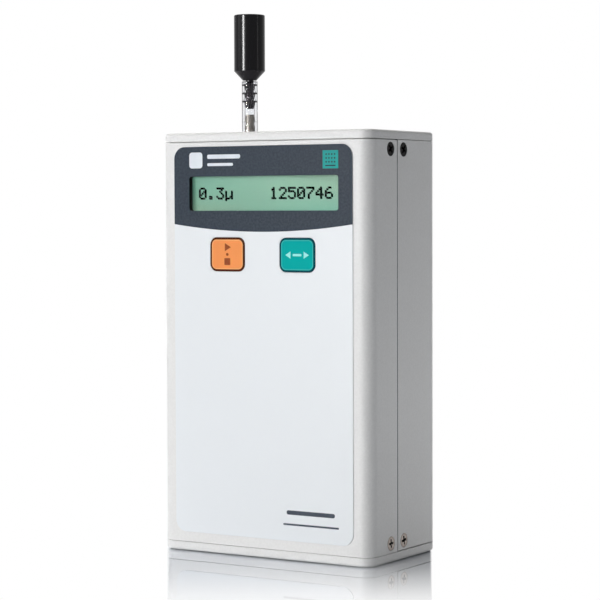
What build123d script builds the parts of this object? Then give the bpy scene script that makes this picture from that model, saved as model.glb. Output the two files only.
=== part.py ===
"""Handheld airborne particle counter: a tall metal case of two extruded half shells and two end caps.

A membrane overlay with a dark display band and two keys covers the front.
A sampling probe stands on a short clear tube above the top cap.
The sensor, pump, battery and boards are inside.

Frame: millimetres, +Z up, the front faces -Y. The origin is the centre of the face it stands on.
"""

from build123d import *
import os

os.makedirs("parts", exist_ok=True)

# ---- Driving dimensions -------------------------------------------------------------------------

# Case. Its width and depth are worked out below, from what it holds.
case_height = 158.8
wall = 2.0
corner_radius = 5.0
cap_thickness = 3.3
cap_edge_radius = 1.2
reveal_open = 0.38  # line over the front shell and under the rear shell
reveal_tight = 0.18  # line under the front shell and over the rear shell
front_shell_depth = 20.0  # of its sides, from the front of the case to the seam
seam_gap = 0.4
tongue_thickness = 0.9
tongue_length = 1.8
rib_thickness = 1.5  # locating rib of an end cap
rib_height = 1.2
lug_thickness = 5.5  # tapped lug of an end cap
lug_height = 8.0
lug_length = 17.6
fit_gap = 0.15  # between pieces that slide together

# Fasteners
shell_screw_height = 7.0  # from the outer face of an end cap
shell_screw_spread = 4.85  # each side of the seam
screw_diameter = 3.0
screw_length = 6.5
flat_head_diameter = 5.5
small_screw_diameter = 2.5
small_head_diameter = 4.4
small_head_height = 1.6
thread_gap = 0.03  # round a shank in its tapped hole

# Overlay and keys
overlay_width = 78.5
overlay_head = 5.3  # top of the overlay below the top of the case
overlay_foot = 7.3  # bottom of the overlay above the foot of the case
overlay_radius = 4.5
overlay_gap = 0.08  # round the overlay, in its recess
overlay_thickness = 0.7
overlay_rise = 0.25  # overlay face above the front of the case
overlay_offset = -0.3
key_width = 15.4
key_height = 12.7
key_radius = 2.8
key_spacing = 30.8
key_drop = 45.7
key_thickness = 0.45
key_rise = 0.2  # key face above the overlay
key_travel = 0.35
key_gap = 0.12
key_boss_diameter = 4.0

# Display
window_width = 65.6
window_height = 12.9
window_offset = 0.15
window_drop = 22.9
window_radius = 1.0
lens_thickness = 1.0
lens_margin = 0.6
surround_wall = 1.6
glass_depth = 2.5  # face of the display glass behind the front of the case
glass_thickness = 2.0
glass_margin = 3.6
backlight_thickness = 2.0
bezel_sheet = 0.4
bezel_margin = 4.4
board_thickness = 1.6
display_board_width = 80.0
display_board_height = 36.0
display_hole_inset = 2.6
standoff_diameter = 5.0
standoff_tapping = 4.0  # depth of its tapped hole

# Keypad board
keypad_board_width = 60.0
keypad_board_height = 16.0
keypad_board_gap = 0.6  # below the display board
keypad_hole_inset = 3.0
switch_size = 6.0
switch_height = 3.5
plunger_diameter = 3.2
plunger_proud = 0.6
plunger_bore_depth = 2.2

# Main board, carried in slots of the front shell
slot_depth = 14.8  # board centre behind the front of the case
slot_rib = 1.5
slot_reach = 1.6
slot_gap = 0.1
main_board_height = 85.0
chip_size = 12.0
chip_thickness = 1.6
header_length = 20.0
header_width = 5.0
header_height = 6.0
beeper_diameter = 9.0
beeper_height = 5.0

# Controls on the left side, edge-mounted on the main board
power_switch_z = 82.0
knob_length = 4.0
knob_width = 2.4
knob_inset = 0.2  # knob face behind the side of the case
knob_depth = 2.5  # of the knob inside its housing
knob_travel = 3.0
power_body_length = 12.0
power_body_size = 6.0
jack_z = 60.0
jack_bore = 3.6
jack_depth = 12.0
jack_nose_diameter = 6.0
jack_body_length = 14.0
jack_body_size = 9.0
trimmer_z = 41.0
trimmer_size = 6.8
trimmer_body_depth = 4.5
trimmer_rotor_diameter = 3.2
trimmer_rotor_depth = 2.5
trimmer_slot_width = 0.6
trimmer_slot_depth = 0.7
trimmer_access = 3.6

# Sampling line
inlet_inset = 24.1  # from the left side of the case
inlet_y = 0.0
nozzle_rise = 7.5  # tip of the nozzle above the top cap
nozzle_shank = 4.0
nozzle_neck = 3.2
nozzle_barb = 4.2
nozzle_bore = 2.2
nozzle_flange = 8.0
nozzle_flange_height = 2.0
nozzle_tip = 2.8  # length of its barb
tube_bore = 4.0
tube_wall = 1.05
tube_relax = 0.15  # bore left open behind a barb
tube_top = 20.2  # above the top cap
probe_diameter = 11.9
probe_body_length = 21.5
probe_lip_radius = 0.45  # round its mouth
probe_cone_height = 3.6
probe_wall = 0.8
probe_throat = 1.6
probe_funnel_height = 7.0
probe_foot = 5.2  # foot of its cone
probe_lift = 0.4  # cone above the tube
stem_barb = 4.8
stem_core = 3.0
stem_pitch = 3.15
stem_barbs = 3

# Optical sensor under the top cap
sensor_width = 36.0
sensor_depth = 26.0
sensor_height = 28.0
sensor_offset_y = 1.0
sensor_post = 9.5  # length of the posts that carry it
sensor_post_diameter = 7.0
flange_thickness = 3.0
flange_reach = 8.0
beam_drop = 14.0  # beam axis below the top of the sensor
laser_diameter = 10.0
laser_length = 22.0
laser_insert = 11.0
laser_collar = 14.0
collar_thickness = 3.0
optic_bore = 9.0
mirror_diameter = 14.0
plug_thickness = 2.5
detector_board_width = 20.0
detector_board_height = 16.0
chamber_bore = 6.0
beam_bore = 4.0
end_wall = 3.0  # closes the flow chamber above and below
mirror_thickness = 3.0
diode_diameter = 8.0
diode_length = 3.0
sensor_head_height = 2.0
sensor_screw_length = 9.0
port_collar = 7.0
port_collar_height = 2.0

# Vane pump and its motor
pump_side_gap = 3.1  # from the right wall
pump_back_gap = 1.4  # from the back wall
pump_size = 28.0
pump_base_z = 52.0
pump_height = 20.0
pump_cover_thickness = 4.0
chamber_diameter = 20.0
chamber_offset = 1.0
chamber_depth = 16.0
rotor_diameter = 17.6
vane_count = 4
vane_thickness = 1.2
vane_depth = 4.8
running_gap = 0.1
shaft_diameter = 3.0
shaft_gap = 0.05
motor_diameter = 24.4
motor_length = 30.8
motor_boss_diameter = 8.0
bracket_sheet = 2.0
bracket_drop = 14.0
bracket_stud_spacing = 20.0
pump_screw_inset = 2.8
pump_screw_length = 8.0
motor_bore_depth = 14.0
inlet_port_offset = 8.0
outlet_port_offset = 6.0
hose_diameter = 6.0
port_diameter = 3.6
port_bore = 2.0
port_length = 8.0
hose_bend = 5.0

# Exhaust filter
filter_diameter = 20.0
filter_length = 24.0
filter_rise = 4.0  # its port above the pump's
filter_edge = 1.5
cradle_width = 14.0
cradle_height = 12.0

# Battery
cell_diameter = 14.5
cell_length = 50.5
cell_columns = 2
cell_rows = 3
cell_gap = 0.05
sleeve_wall = 0.4
pack_left = 6.3  # clear of the left wall
pack_pump_gap = 0.3
pack_front_gap = 2.25  # clear of the main board
pad_thickness = 1.0
pad_width = 34.0
pad_height = 28.0
clamp_sheet = 1.5
clamp_width = 30.0
clamp_leaf = 12.0
clamp_lip = 18.0
stud_spacing = 16.0
stud_diameter = 3.0
stud_length = 6.0
nut_width = 5.5
nut_height = 2.4

# ---- Planes and places worked out from the dimensions -------------------------------------------

cell_pitch = cell_diameter + cell_gap
sleeve_extra = 2 * (sleeve_wall + cell_gap)
pack_depth = cell_columns * cell_diameter + (cell_columns - 1) * cell_gap + sleeve_extra
pack_height = cell_rows * cell_diameter + (cell_rows - 1) * cell_gap + sleeve_extra

# The battery pack and the pump stand side by side, with the main board in front of them.
case_width = 2 * wall + pack_left + cell_length + pack_pump_gap + pump_size + pump_side_gap
behind_board = pack_front_gap + pack_depth + pad_thickness + wall
case_depth = slot_depth + board_thickness / 2 + behind_board

front_y = -case_depth / 2
back_y = case_depth / 2
side_x = case_width / 2
inner_x = side_x - wall
inner_back_y = back_y - wall
deck_z = case_height - cap_thickness  # underside of the top cap's plate
front_shell_zs = (cap_thickness + reveal_tight, deck_z - reveal_open)
rear_shell_zs = (cap_thickness + reveal_open, deck_z - reveal_tight)
overlay_height = case_height - overlay_head - overlay_foot
overlay_z = overlay_foot + overlay_height / 2
key_z = case_height - key_drop
window_z = case_height - window_drop
seam_y = front_y + front_shell_depth
slot_y = front_y + slot_depth
inlet_x = inlet_inset - side_x
pump_x = inner_x - pump_side_gap - pump_size / 2
pump_y = inner_back_y - pump_back_gap - pump_size / 2
front_edge_y = seam_y - seam_gap / 2
rear_edge_y = seam_y + seam_gap / 2


def front_plane(depth):
    """Plane facing the user, at this depth behind the front of the case. Its x and y are X and Z."""
    return Plane.XZ.offset(case_depth / 2 - depth)


def side_plane(side, inset=0.0):
    """Plane of a side wall, facing outwards: side is 1 for the right wall and -1 for the left.

    Its own x is Y times side and its own y is Z.
    """
    origin = (side * (side_x - inset), 0, 0)
    return Plane(origin=origin, x_dir=(0, side, 0), z_dir=(side, 0, 0))


def middle(limits):
    """The middle of a pair of limits."""
    return (limits[0] + limits[1]) / 2


def block(xs, ys, zs, mode=Mode.ADD):
    """A box between these limits, in the part being built."""
    with BuildSketch(Plane.XY.offset(zs[0])) as base:
        with Locations((middle(xs), middle(ys))):
            Rectangle(xs[1] - xs[0], ys[1] - ys[0])
    extrude(base.sketch, amount=zs[1] - zs[0], mode=mode)


def bar(end, radius, length, mode=Mode.ADD):
    """A round bar or hole from this plane along its normal, in the part being built."""
    with BuildSketch(end) as section:
        Circle(radius)
    extrude(section.sketch, amount=length, mode=mode)


def finish(piece, name):
    """Labels a finished piece and writes it to its own file."""
    piece.part.label = name
    export_step(piece.part, f"parts/{name}.step")


# ---- Case: front and rear shell ----------------------------------------------------------------

shell_screw_zs = (shell_screw_height, case_height - shell_screw_height)


def shell_extrusion(low_z, cut_low_y, cut_high_y):
    """The case's closed rounded section at its low end, less what lies between the two cut lines."""
    with BuildSketch(Plane.XY.offset(low_z)) as section:
        RectangleRounded(case_width, case_depth, corner_radius)
        inner = (case_width - 2 * wall, case_depth - 2 * wall)
        RectangleRounded(*inner, corner_radius - wall, mode=Mode.SUBTRACT)
        with Locations((0, (cut_low_y + cut_high_y) / 2)):
            Rectangle(case_width, cut_high_y - cut_low_y, mode=Mode.SUBTRACT)
    return section


def countersinks(screw_y):
    """Countersunk holes for the shell screws, in both side walls of the part being built."""
    for side in (-1, 1):
        for z in shell_screw_zs:
            with Locations(side_plane(side).location * Location((side * screw_y, z, 0))):
                CounterSinkHole(
                    screw_diameter / 2 + fit_gap,
                    flat_head_diameter / 2 + thread_gap,
                    wall,
                    counter_sink_angle=90,
                )


front_screw_y = seam_y - shell_screw_spread
rear_screw_y = seam_y + shell_screw_spread
shell_length = front_shell_zs[1] - front_shell_zs[0]

surround_width = window_width + 2 * surround_wall
surround_height = window_height + 2 * surround_wall
boss_xs = (-key_spacing / 2, key_spacing / 2)

# Both front boards lie at one depth, on standoffs from the front wall.
pocket_depth = overlay_thickness - overlay_rise
board_depth = glass_depth + glass_thickness + backlight_thickness
display_board_x = display_board_width / 2 - display_hole_inset
display_board_z = display_board_height / 2 - display_hole_inset
display_holes = [
    (window_offset + side * display_board_x, window_z + edge * display_board_z)
    for side in (-1, 1)
    for edge in (-1, 1)
]
keypad_top = window_z - display_board_height / 2 - keypad_board_gap
keypad_z = keypad_top - keypad_board_height / 2
keypad_x = keypad_board_width / 2 - keypad_hole_inset
keypad_half = keypad_board_height / 2 - keypad_hole_inset
keypad_holes = [(side * keypad_x, keypad_z + edge * keypad_half) for side in (-1, 1) for edge in (-1, 1)]
board_holes = display_holes + keypad_holes

# Side controls sit on the front of the main board.
main_board_front = slot_y - board_thickness / 2
power_y = main_board_front - power_body_size / 2
jack_y = main_board_front - jack_body_size / 2
trimmer_y = main_board_front - trimmer_size / 2

slot_width = board_thickness + 2 * slot_gap
slot_bottom = cap_thickness + lug_height + 1.5 * slot_rib
slot_top = case_height - slot_bottom

with BuildPart() as front_shell:
    add(shell_extrusion(front_shell_zs[0], front_edge_y, back_y).sketch)
    extrude(amount=shell_length)
    # Tongues that enter the rear shell.
    with BuildSketch(Plane.XY.offset(front_shell_zs[0])):
        for side in (-1, 1):
            with Locations((side * (inner_x + tongue_thickness / 2), front_edge_y)):
                Rectangle(tongue_thickness, 2 * tongue_length)
    extrude(amount=shell_length)
    # Slots for the main board, milled back where the end caps' lugs go.
    with BuildSketch(Plane.XY.offset(slot_bottom)):
        for side in (-1, 1):
            for edge in (-1, 1):
                rib_y = slot_y + edge * (slot_width + slot_rib) / 2
                with Locations((side * (inner_x - slot_reach / 2), rib_y)):
                    Rectangle(slot_reach, slot_rib)
    extrude(amount=slot_top - slot_bottom)
    # Recess for the overlay.
    with BuildSketch(front_plane(pocket_depth)):
        with Locations((overlay_offset, overlay_z)):
            pocket = (overlay_width + 2 * overlay_gap, overlay_height + 2 * overlay_gap)
            RectangleRounded(*pocket, overlay_radius + overlay_gap)
    extrude(amount=pocket_depth, mode=Mode.SUBTRACT)
    # Tapped standoffs for the display board and the keypad board.
    for x, z in board_holes:
        foot = front_plane(wall).location * Location((x, z, 0), (180, 0, 0))
        tip = front_plane(board_depth).location * Location((x, z, 0))
        bar(Plane(foot), standoff_diameter / 2, board_depth - wall)
        bar(Plane(tip), small_screw_diameter / 2 + thread_gap, standoff_tapping, Mode.SUBTRACT)
    # Display opening and key holes in the front wall.
    with BuildSketch(front_plane(wall)):
        with Locations((window_offset, window_z)):
            Rectangle(surround_width + 2 * fit_gap, surround_height + 2 * fit_gap)
        with Locations(*[(x, key_z) for x in boss_xs]):
            Circle(key_boss_diameter / 2 + 2 * fit_gap)
    extrude(amount=wall, mode=Mode.SUBTRACT)
    # Openings for the controls in the left wall, cut through the slots' ribs too.
    with BuildSketch(side_plane(-1, wall + slot_reach)):
        with Locations((-power_y, power_switch_z - knob_travel / 2)):
            slot_length = knob_length + knob_travel + 2 * fit_gap
            Rectangle(knob_width + 2 * fit_gap, slot_length)
        with Locations((-jack_y, jack_z)):
            Circle(jack_nose_diameter / 2 + fit_gap)
        with Locations((-trimmer_y, trimmer_z)):
            Circle(trimmer_access / 2)
    extrude(amount=wall + slot_reach, mode=Mode.SUBTRACT)
    countersinks(front_screw_y)
finish(front_shell, "front_shell")

# The battery pack rests on the bottom cap's rib and on a pad inside it.
pack_low = cap_thickness + rib_height
pack_back = inner_back_y - pad_thickness
pack_xs = (pack_left - inner_x, pack_left - inner_x + cell_length)
pack_ys = (pack_back - pack_depth, pack_back)
pack_zs = (pack_low, pack_low + pack_height)

# Studs welded to the back wall hold the battery clamp and the pump bracket.
clamp_stud_z = pack_zs[1] + clamp_leaf * 0.58
bracket_top = pump_base_z
bracket_stud_z = bracket_top - bracket_sheet - bracket_drop / 2
studs = [(middle(pack_xs) + side * stud_spacing / 2, clamp_stud_z) for side in (-1, 1)]
studs += [(pump_x + side * bracket_stud_spacing / 2, bracket_stud_z) for side in (-1, 1)]


def back_plane(x, z, inset=0.0):
    """Plane at a place on the back wall's inner face, or inside it by an inset, facing forwards."""
    return Plane(origin=(x, inner_back_y - inset, z), x_dir=(1, 0, 0), z_dir=(0, -1, 0))


with BuildPart() as rear_shell:
    add(shell_extrusion(rear_shell_zs[0], front_y, rear_edge_y).sketch)
    extrude(amount=shell_length)
    # Rebates that take the front shell's tongues.
    with BuildSketch(Plane.XY.offset(rear_shell_zs[0])):
        rebate = (tongue_thickness + fit_gap, tongue_length - seam_gap + fit_gap)
        for side in (-1, 1):
            with Locations((side * (inner_x + rebate[0] / 2), rear_edge_y + rebate[1] / 2)):
                Rectangle(*rebate)
    extrude(amount=shell_length, mode=Mode.SUBTRACT)
    for x, z in studs:
        bar(back_plane(x, z), stud_diameter / 2, stud_length)
    countersinks(rear_screw_y)
finish(rear_shell, "rear_shell")

# ---- End caps ----------------------------------------------------------------------------------

rib_width = 2 * inner_x - 2 * fit_gap
rib_depth = case_depth - 2 * wall - 2 * fit_gap
rib_radius = corner_radius - wall
lug_x = inner_x - fit_gap - lug_thickness / 2


def end_cap(outer_face, y_sign):
    """A rounded plate with a low locating rib and two tapped lugs, built inwards from its outer face."""
    with BuildPart() as cap:
        with BuildSketch(outer_face):
            RectangleRounded(case_width, case_depth, corner_radius)
        extrude(amount=cap_thickness)
        fillet(cap.faces().sort_by_distance(outer_face.origin)[0].edges(), cap_edge_radius)
        with BuildSketch(outer_face.offset(cap_thickness)):
            RectangleRounded(rib_width, rib_depth, rib_radius)
            inside = (rib_width - 2 * rib_thickness, rib_depth - 2 * rib_thickness)
            RectangleRounded(*inside, rib_radius - rib_thickness, mode=Mode.SUBTRACT)
        extrude(amount=rib_height)
        with BuildSketch(outer_face.offset(cap_thickness)):
            with Locations(*[(side * lug_x, y_sign * seam_y) for side in (-1, 1)]):
                Rectangle(lug_thickness, lug_length)
        extrude(amount=lug_height)
    return cap


def tapped_holes(z):
    """The four tapped holes that the shell screws enter, at one end of the case."""
    for side in (-1, 1):
        for y in (front_screw_y, rear_screw_y):
            place = side_plane(side, wall).location * Location((side * y, z, 0))
            with Locations(place):
                Hole(screw_diameter / 2 + thread_gap, depth=lug_thickness + 1)


with BuildPart() as bottom_cap:
    add(end_cap(Plane.XY, 1).part)
    tapped_holes(shell_screw_height)
finish(bottom_cap, "bottom_cap")

top_face = Plane(origin=(0, 0, case_height), x_dir=(1, 0, 0), z_dir=(0, 0, -1))
sensor_y = inlet_y + sensor_offset_y
sensor_xs = (inlet_x - sensor_width / 2, inlet_x + sensor_width / 2)
sensor_ys = (sensor_y - sensor_depth / 2, sensor_y + sensor_depth / 2)
post_xs = (sensor_xs[0] + sensor_post_diameter * 0.7, sensor_xs[1] + flange_reach / 2)
post_ys = (sensor_ys[0] + sensor_post_diameter / 2, sensor_ys[1] + flange_reach / 2)
post_places = [(post_xs[0], post_ys[1]), (post_xs[1], post_ys[1]), (post_xs[1], post_ys[0])]

with BuildPart() as top_cap:
    add(end_cap(top_face, -1).part)
    # Posts that carry the sensor.
    with BuildSketch(Plane.XY.offset(deck_z)):
        with Locations(*post_places):
            Circle(sensor_post_diameter / 2)
    extrude(amount=-sensor_post)
    for x, y in post_places:
        bar(Plane((x, y, deck_z - sensor_post)), screw_diameter / 2 + thread_gap, sensor_post, Mode.SUBTRACT)
    with Locations((inlet_x, inlet_y, case_height)):
        Hole(nozzle_shank / 2 + fit_gap, depth=cap_thickness)
    tapped_holes(case_height - shell_screw_height)
finish(top_cap, "top_cap")

# ---- Shell screws ------------------------------------------------------------------------------

with BuildPart() as flat_screw:
    with BuildSketch(Plane.XZ):
        head_depth = (flat_head_diameter - screw_diameter) / 2
        with BuildLine():
            Polyline(
                (0, 0),
                (flat_head_diameter / 2, 0),
                (screw_diameter / 2, -head_depth),
                (screw_diameter / 2, -screw_length),
                (0, -screw_length),
                close=True,
            )
        make_face()
    revolve(axis=Axis.Z)

with BuildPart() as shell_screws:
    for side in (-1, 1):
        for y in (front_screw_y, rear_screw_y):
            for z in shell_screw_zs:
                with Locations(side_plane(side).location * Location((side * y, z, 0))):
                    add(flat_screw.part)
finish(shell_screws, "shell_screws")

# ---- Overlay and keys --------------------------------------------------------------------------

key_depth = -overlay_rise - key_rise

with BuildPart() as overlay:
    with BuildSketch(front_plane(pocket_depth)):
        with Locations((overlay_offset, overlay_z)):
            RectangleRounded(overlay_width, overlay_height, overlay_radius)
        with Locations((window_offset, window_z)):
            RectangleRounded(window_width, window_height, window_radius, mode=Mode.SUBTRACT)
        with Locations(*[(x, key_z) for x in boss_xs]):
            opening = (key_width + 2 * key_gap, key_height + 2 * key_gap)
            RectangleRounded(*opening, key_radius + key_gap, mode=Mode.SUBTRACT)
    extrude(amount=overlay_thickness)
finish(overlay, "overlay")

switch_front_depth = board_depth - switch_height
plunger_depth = switch_front_depth - plunger_proud


def key(x, name):
    """A key: a rounded plate flush in the overlay, with a round boss through the wall behind it."""
    with BuildPart() as cap:
        with BuildSketch(front_plane(key_depth + key_thickness)):
            with Locations((x, key_z)):
                RectangleRounded(key_width, key_height, key_radius)
        extrude(amount=key_thickness)
        face = cap.faces().sort_by(Axis.Y)[0]
        chamfer(face.edges(), key_rise * 0.9)
        with BuildSketch(front_plane(plunger_depth)):
            with Locations((x, key_z)):
                Circle(key_boss_diameter / 2)
        extrude(amount=plunger_depth - key_depth - key_thickness)
    finish(cap, name)


def plunger(x, name):
    """A switch plunger, which rests on its key's boss and slides in the switch."""
    with BuildPart() as pin:
        length = plunger_proud + plunger_bore_depth - key_travel - fit_gap
        with BuildSketch(front_plane(plunger_depth + length)):
            with Locations((x, key_z)):
                Circle(plunger_diameter / 2)
        extrude(amount=length)
    finish(pin, name)


for key_x, key_name in zip(boss_xs, ("start_stop", "select")):
    key(key_x, f"{key_name}_key")
    plunger(key_x, f"{key_name}_plunger")

# ---- Display -----------------------------------------------------------------------------------

bezel_depth = glass_depth - bezel_sheet


def window_plate(back, front, margin, mode=Mode.ADD):
    """A plate behind the display window, wider than it by a margin, between two depths."""
    with BuildSketch(front_plane(back)) as outline:
        with Locations((window_offset, window_z)):
            Rectangle(window_width + 2 * margin, window_height + 2 * margin)
    extrude(outline.sketch, amount=back - front, mode=mode)


with BuildPart() as window_surround:
    window_plate(bezel_depth, pocket_depth, surround_wall)
    window_plate(pocket_depth + lens_thickness, pocket_depth, lens_margin, Mode.SUBTRACT)
    with BuildSketch(front_plane(bezel_depth)):
        with Locations((window_offset, window_z)):
            RectangleRounded(window_width, window_height, window_radius)
    extrude(amount=bezel_depth - pocket_depth, mode=Mode.SUBTRACT)
finish(window_surround, "window_surround")

with BuildPart() as window_lens:
    window_plate(pocket_depth + lens_thickness, pocket_depth, lens_margin - thread_gap)
finish(window_lens, "window_lens")

with BuildPart() as display_bezel:
    window_plate(board_depth, bezel_depth, bezel_margin)
    window_plate(board_depth, glass_depth, bezel_margin - bezel_sheet, Mode.SUBTRACT)
    window_plate(glass_depth, bezel_depth, lens_margin, Mode.SUBTRACT)
finish(display_bezel, "display_bezel")

with BuildPart() as display_glass:
    window_plate(glass_depth + glass_thickness, glass_depth, glass_margin)
finish(display_glass, "display_glass")

with BuildPart() as display_backlight:
    window_plate(board_depth, glass_depth + glass_thickness, glass_margin)
finish(display_backlight, "display_backlight")


def board(width, height, centre, holes, name):
    """A circuit board on the standoffs, with a hole over each of them."""
    with BuildPart() as sheet:
        with BuildSketch(front_plane(board_depth + board_thickness)):
            with Locations(centre):
                Rectangle(width, height)
            with Locations(*holes):
                Circle(small_screw_diameter / 2 + fit_gap, mode=Mode.SUBTRACT)
        extrude(amount=board_thickness)
    finish(sheet, name)


display_centre = (window_offset, window_z)
board(display_board_width, display_board_height, display_centre, display_holes, "display_board")
board(keypad_board_width, keypad_board_height, (0, keypad_z), keypad_holes, "keypad_board")

with BuildPart() as pan_screw:
    with BuildSketch(Plane.XZ):
        with BuildLine():
            Polyline(
                (0, 0),
                (small_head_diameter / 2, 0),
                (small_head_diameter / 2, small_head_height),
                (0, small_head_height),
                close=True,
            )
        make_face()
    revolve(axis=Axis.Z)


def pan_screws(seats, shank_length, name):
    """Round-headed screws seated on these planes, each with its head on the side the plane faces."""
    with BuildPart() as screws:
        for seat in seats:
            with Locations(seat.location):
                add(pan_screw.part)
            bar(seat, small_screw_diameter / 2, -shank_length)
    finish(screws, name)


def seat_behind_board(x, z):
    """Plane at a hole of a front board, on its back and facing the back of the case."""
    y = front_y + board_depth + board_thickness
    return Plane(origin=(x, y, z), x_dir=(1, 0, 0), z_dir=(0, 1, 0))


board_screw_length = board_thickness + standoff_tapping - 2 * fit_gap
pan_screws([seat_behind_board(x, z) for x, z in board_holes], board_screw_length, "board_screws")

with BuildPart() as key_switches:
    with BuildSketch(front_plane(board_depth)):
        with Locations(*[(x, key_z) for x in boss_xs]):
            Rectangle(switch_size, switch_size)
    extrude(amount=switch_height)
    with BuildSketch(front_plane(switch_front_depth)):
        with Locations(*[(x, key_z) for x in boss_xs]):
            Circle(plunger_diameter / 2 + running_gap)
    extrude(amount=-plunger_bore_depth, mode=Mode.SUBTRACT)
finish(key_switches, "key_switches")

# ---- Main board and side controls ---------------------------------------------------------------

main_board_low = cap_thickness + lug_height
main_board_ys = (slot_y - board_thickness / 2, slot_y + board_thickness / 2)
control_x = inner_x - slot_reach - 2 * fit_gap

with BuildPart() as main_board:
    edge = inner_x - fit_gap
    block((-edge, edge), main_board_ys, (main_board_low, main_board_low + main_board_height))
finish(main_board, "main_board")

with BuildPart() as board_parts:
    with BuildSketch(front_plane(main_board_front - front_y)):
        with Locations((0, jack_z), (chip_size * 1.6, jack_z)):
            Rectangle(chip_size, chip_size)
    extrude(amount=chip_thickness)
    with BuildSketch(front_plane(main_board_front - front_y)):
        with Locations((chip_size, jack_z + 2 * chip_size), (chip_size, jack_z - 2 * chip_size)):
            Rectangle(header_length, header_width)
    extrude(amount=header_height)
    with BuildSketch(front_plane(main_board_front - front_y)):
        with Locations((-chip_size, jack_z - 2 * chip_size)):
            Circle(beeper_diameter / 2)
    extrude(amount=beeper_height)
finish(board_parts, "board_parts")

knob_y_limits = (power_y - knob_width / 2, power_y + knob_width / 2)
knob_zs = (power_switch_z - knob_length / 2, power_switch_z + knob_length / 2)

with BuildPart() as power_switch:
    middle_z = power_switch_z - knob_travel / 2
    body_zs = (middle_z - power_body_length / 2, middle_z + power_body_length / 2)
    body_ys = (main_board_front - power_body_size, main_board_front)
    block((-control_x, power_body_size - control_x), body_ys, body_zs)
    way_ys = (knob_y_limits[0] - running_gap, knob_y_limits[1] + running_gap)
    way_zs = (knob_zs[0] - knob_travel - running_gap, knob_zs[1] + running_gap)
    block((-control_x, knob_depth - control_x), way_ys, way_zs, Mode.SUBTRACT)
finish(power_switch, "power_switch")

with BuildPart() as power_knob:
    block((knob_inset - side_x, knob_depth - running_gap - control_x), knob_y_limits, knob_zs)
    chamfer(power_knob.faces().sort_by(Axis.X)[0].edges(), knob_width / 8)
finish(power_knob, "power_knob")

left_wards = dict(x_dir=(0, -1, 0), z_dir=(-1, 0, 0))

with BuildPart() as charger_jack:
    body_xs = (-control_x, jack_body_length - control_x)
    body_zs = (jack_z - jack_body_size / 2, jack_z + jack_body_size / 2)
    block(body_xs, (main_board_front - jack_body_size, main_board_front), body_zs)
    nose = Plane(origin=(-control_x, jack_y, jack_z), **left_wards)
    nose_length = side_x - knob_inset - control_x
    bar(nose, jack_nose_diameter / 2, nose_length)
    bar(nose.offset(nose_length), jack_bore / 2, -jack_depth, Mode.SUBTRACT)
finish(charger_jack, "charger_jack")

trimmer_face = Plane(origin=(-control_x, trimmer_y, trimmer_z), **left_wards)

with BuildPart() as flow_trimmer:
    body_zs = (trimmer_z - trimmer_size / 2, trimmer_z + trimmer_size / 2)
    body_ys = (main_board_front - trimmer_size, main_board_front)
    block((-control_x, trimmer_body_depth - control_x), body_ys, body_zs)
    bore_radius = trimmer_rotor_diameter / 2 + shaft_gap
    bar(trimmer_face, bore_radius, -trimmer_rotor_depth - running_gap, Mode.SUBTRACT)
finish(flow_trimmer, "flow_trimmer")

with BuildPart() as trimmer_rotor:
    bar(trimmer_face, trimmer_rotor_diameter / 2, -trimmer_rotor_depth)
    with BuildSketch(trimmer_face):
        Rectangle(trimmer_slot_width, trimmer_rotor_diameter + 1)
    extrude(amount=-trimmer_slot_depth, mode=Mode.SUBTRACT)
finish(trimmer_rotor, "trimmer_rotor")

# ---- Sampling line ------------------------------------------------------------------------------

inlet_axis = Axis((inlet_x, inlet_y, 0), (0, 0, 1))
sensor_top = deck_z - sensor_post


def turn(outline):
    """A piece turned about the inlet's axis, from its outline of (radius, height) points."""
    with BuildSketch(Plane(origin=(inlet_x, inlet_y, 0), x_dir=(1, 0, 0), z_dir=(0, -1, 0))) as section:
        with BuildLine():
            Polyline(*outline, close=True)
        make_face()
    revolve(section.sketch, axis=inlet_axis)


nozzle_top = case_height + nozzle_rise
barb_z = nozzle_top - nozzle_tip
neck_z = barb_z - nozzle_tip / 2

with BuildPart() as inlet_nozzle:
    turn([
        (nozzle_bore / 2, sensor_top - end_wall),
        (nozzle_shank / 2, sensor_top - end_wall),
        (nozzle_shank / 2, sensor_top),
        (nozzle_flange / 2, sensor_top),
        (nozzle_flange / 2, sensor_top + nozzle_flange_height),
        (nozzle_shank / 2, sensor_top + nozzle_flange_height),
        (nozzle_shank / 2, neck_z),
        (nozzle_neck / 2, neck_z),
        (nozzle_neck / 2, barb_z),
        (nozzle_barb / 2, barb_z),
        (nozzle_neck / 2, nozzle_top),
        (nozzle_bore / 2, nozzle_top),
    ])
finish(inlet_nozzle, "inlet_nozzle")

tube_end = case_height + tube_top
cone_foot_z = tube_end + probe_lift
cone_top_z = cone_foot_z + probe_cone_height
probe_top = cone_top_z + probe_body_length
stem_top = tube_end - stem_pitch / 3
stem_tip = stem_top - stem_barbs * stem_pitch
barb_tops = [stem_tip + (k + 1) * stem_pitch for k in range(stem_barbs)]

stem = [(stem_core / 2, stem_tip)]
for z in barb_tops:
    stem += [(stem_barb / 2, z), (stem_core / 2, z)]

with BuildPart() as sampling_probe:
    mouth_radius = probe_diameter / 2 - probe_wall
    turn([
        (probe_throat / 2, stem_tip),
        *stem,
        (stem_core / 2, cone_foot_z),
        (probe_foot / 2, cone_foot_z),
        (probe_diameter / 2, cone_top_z),
        (probe_diameter / 2, probe_top),
        (mouth_radius, probe_top),
        (mouth_radius, cone_top_z + probe_funnel_height),
        (probe_throat / 2, cone_top_z),
    ])
    mouth_edges = sampling_probe.edges().group_by(Axis.Z)[-1]
    fillet(mouth_edges.sort_by(SortBy.LENGTH)[-1], probe_lip_radius)
finish(sampling_probe, "sampling_probe")

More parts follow.
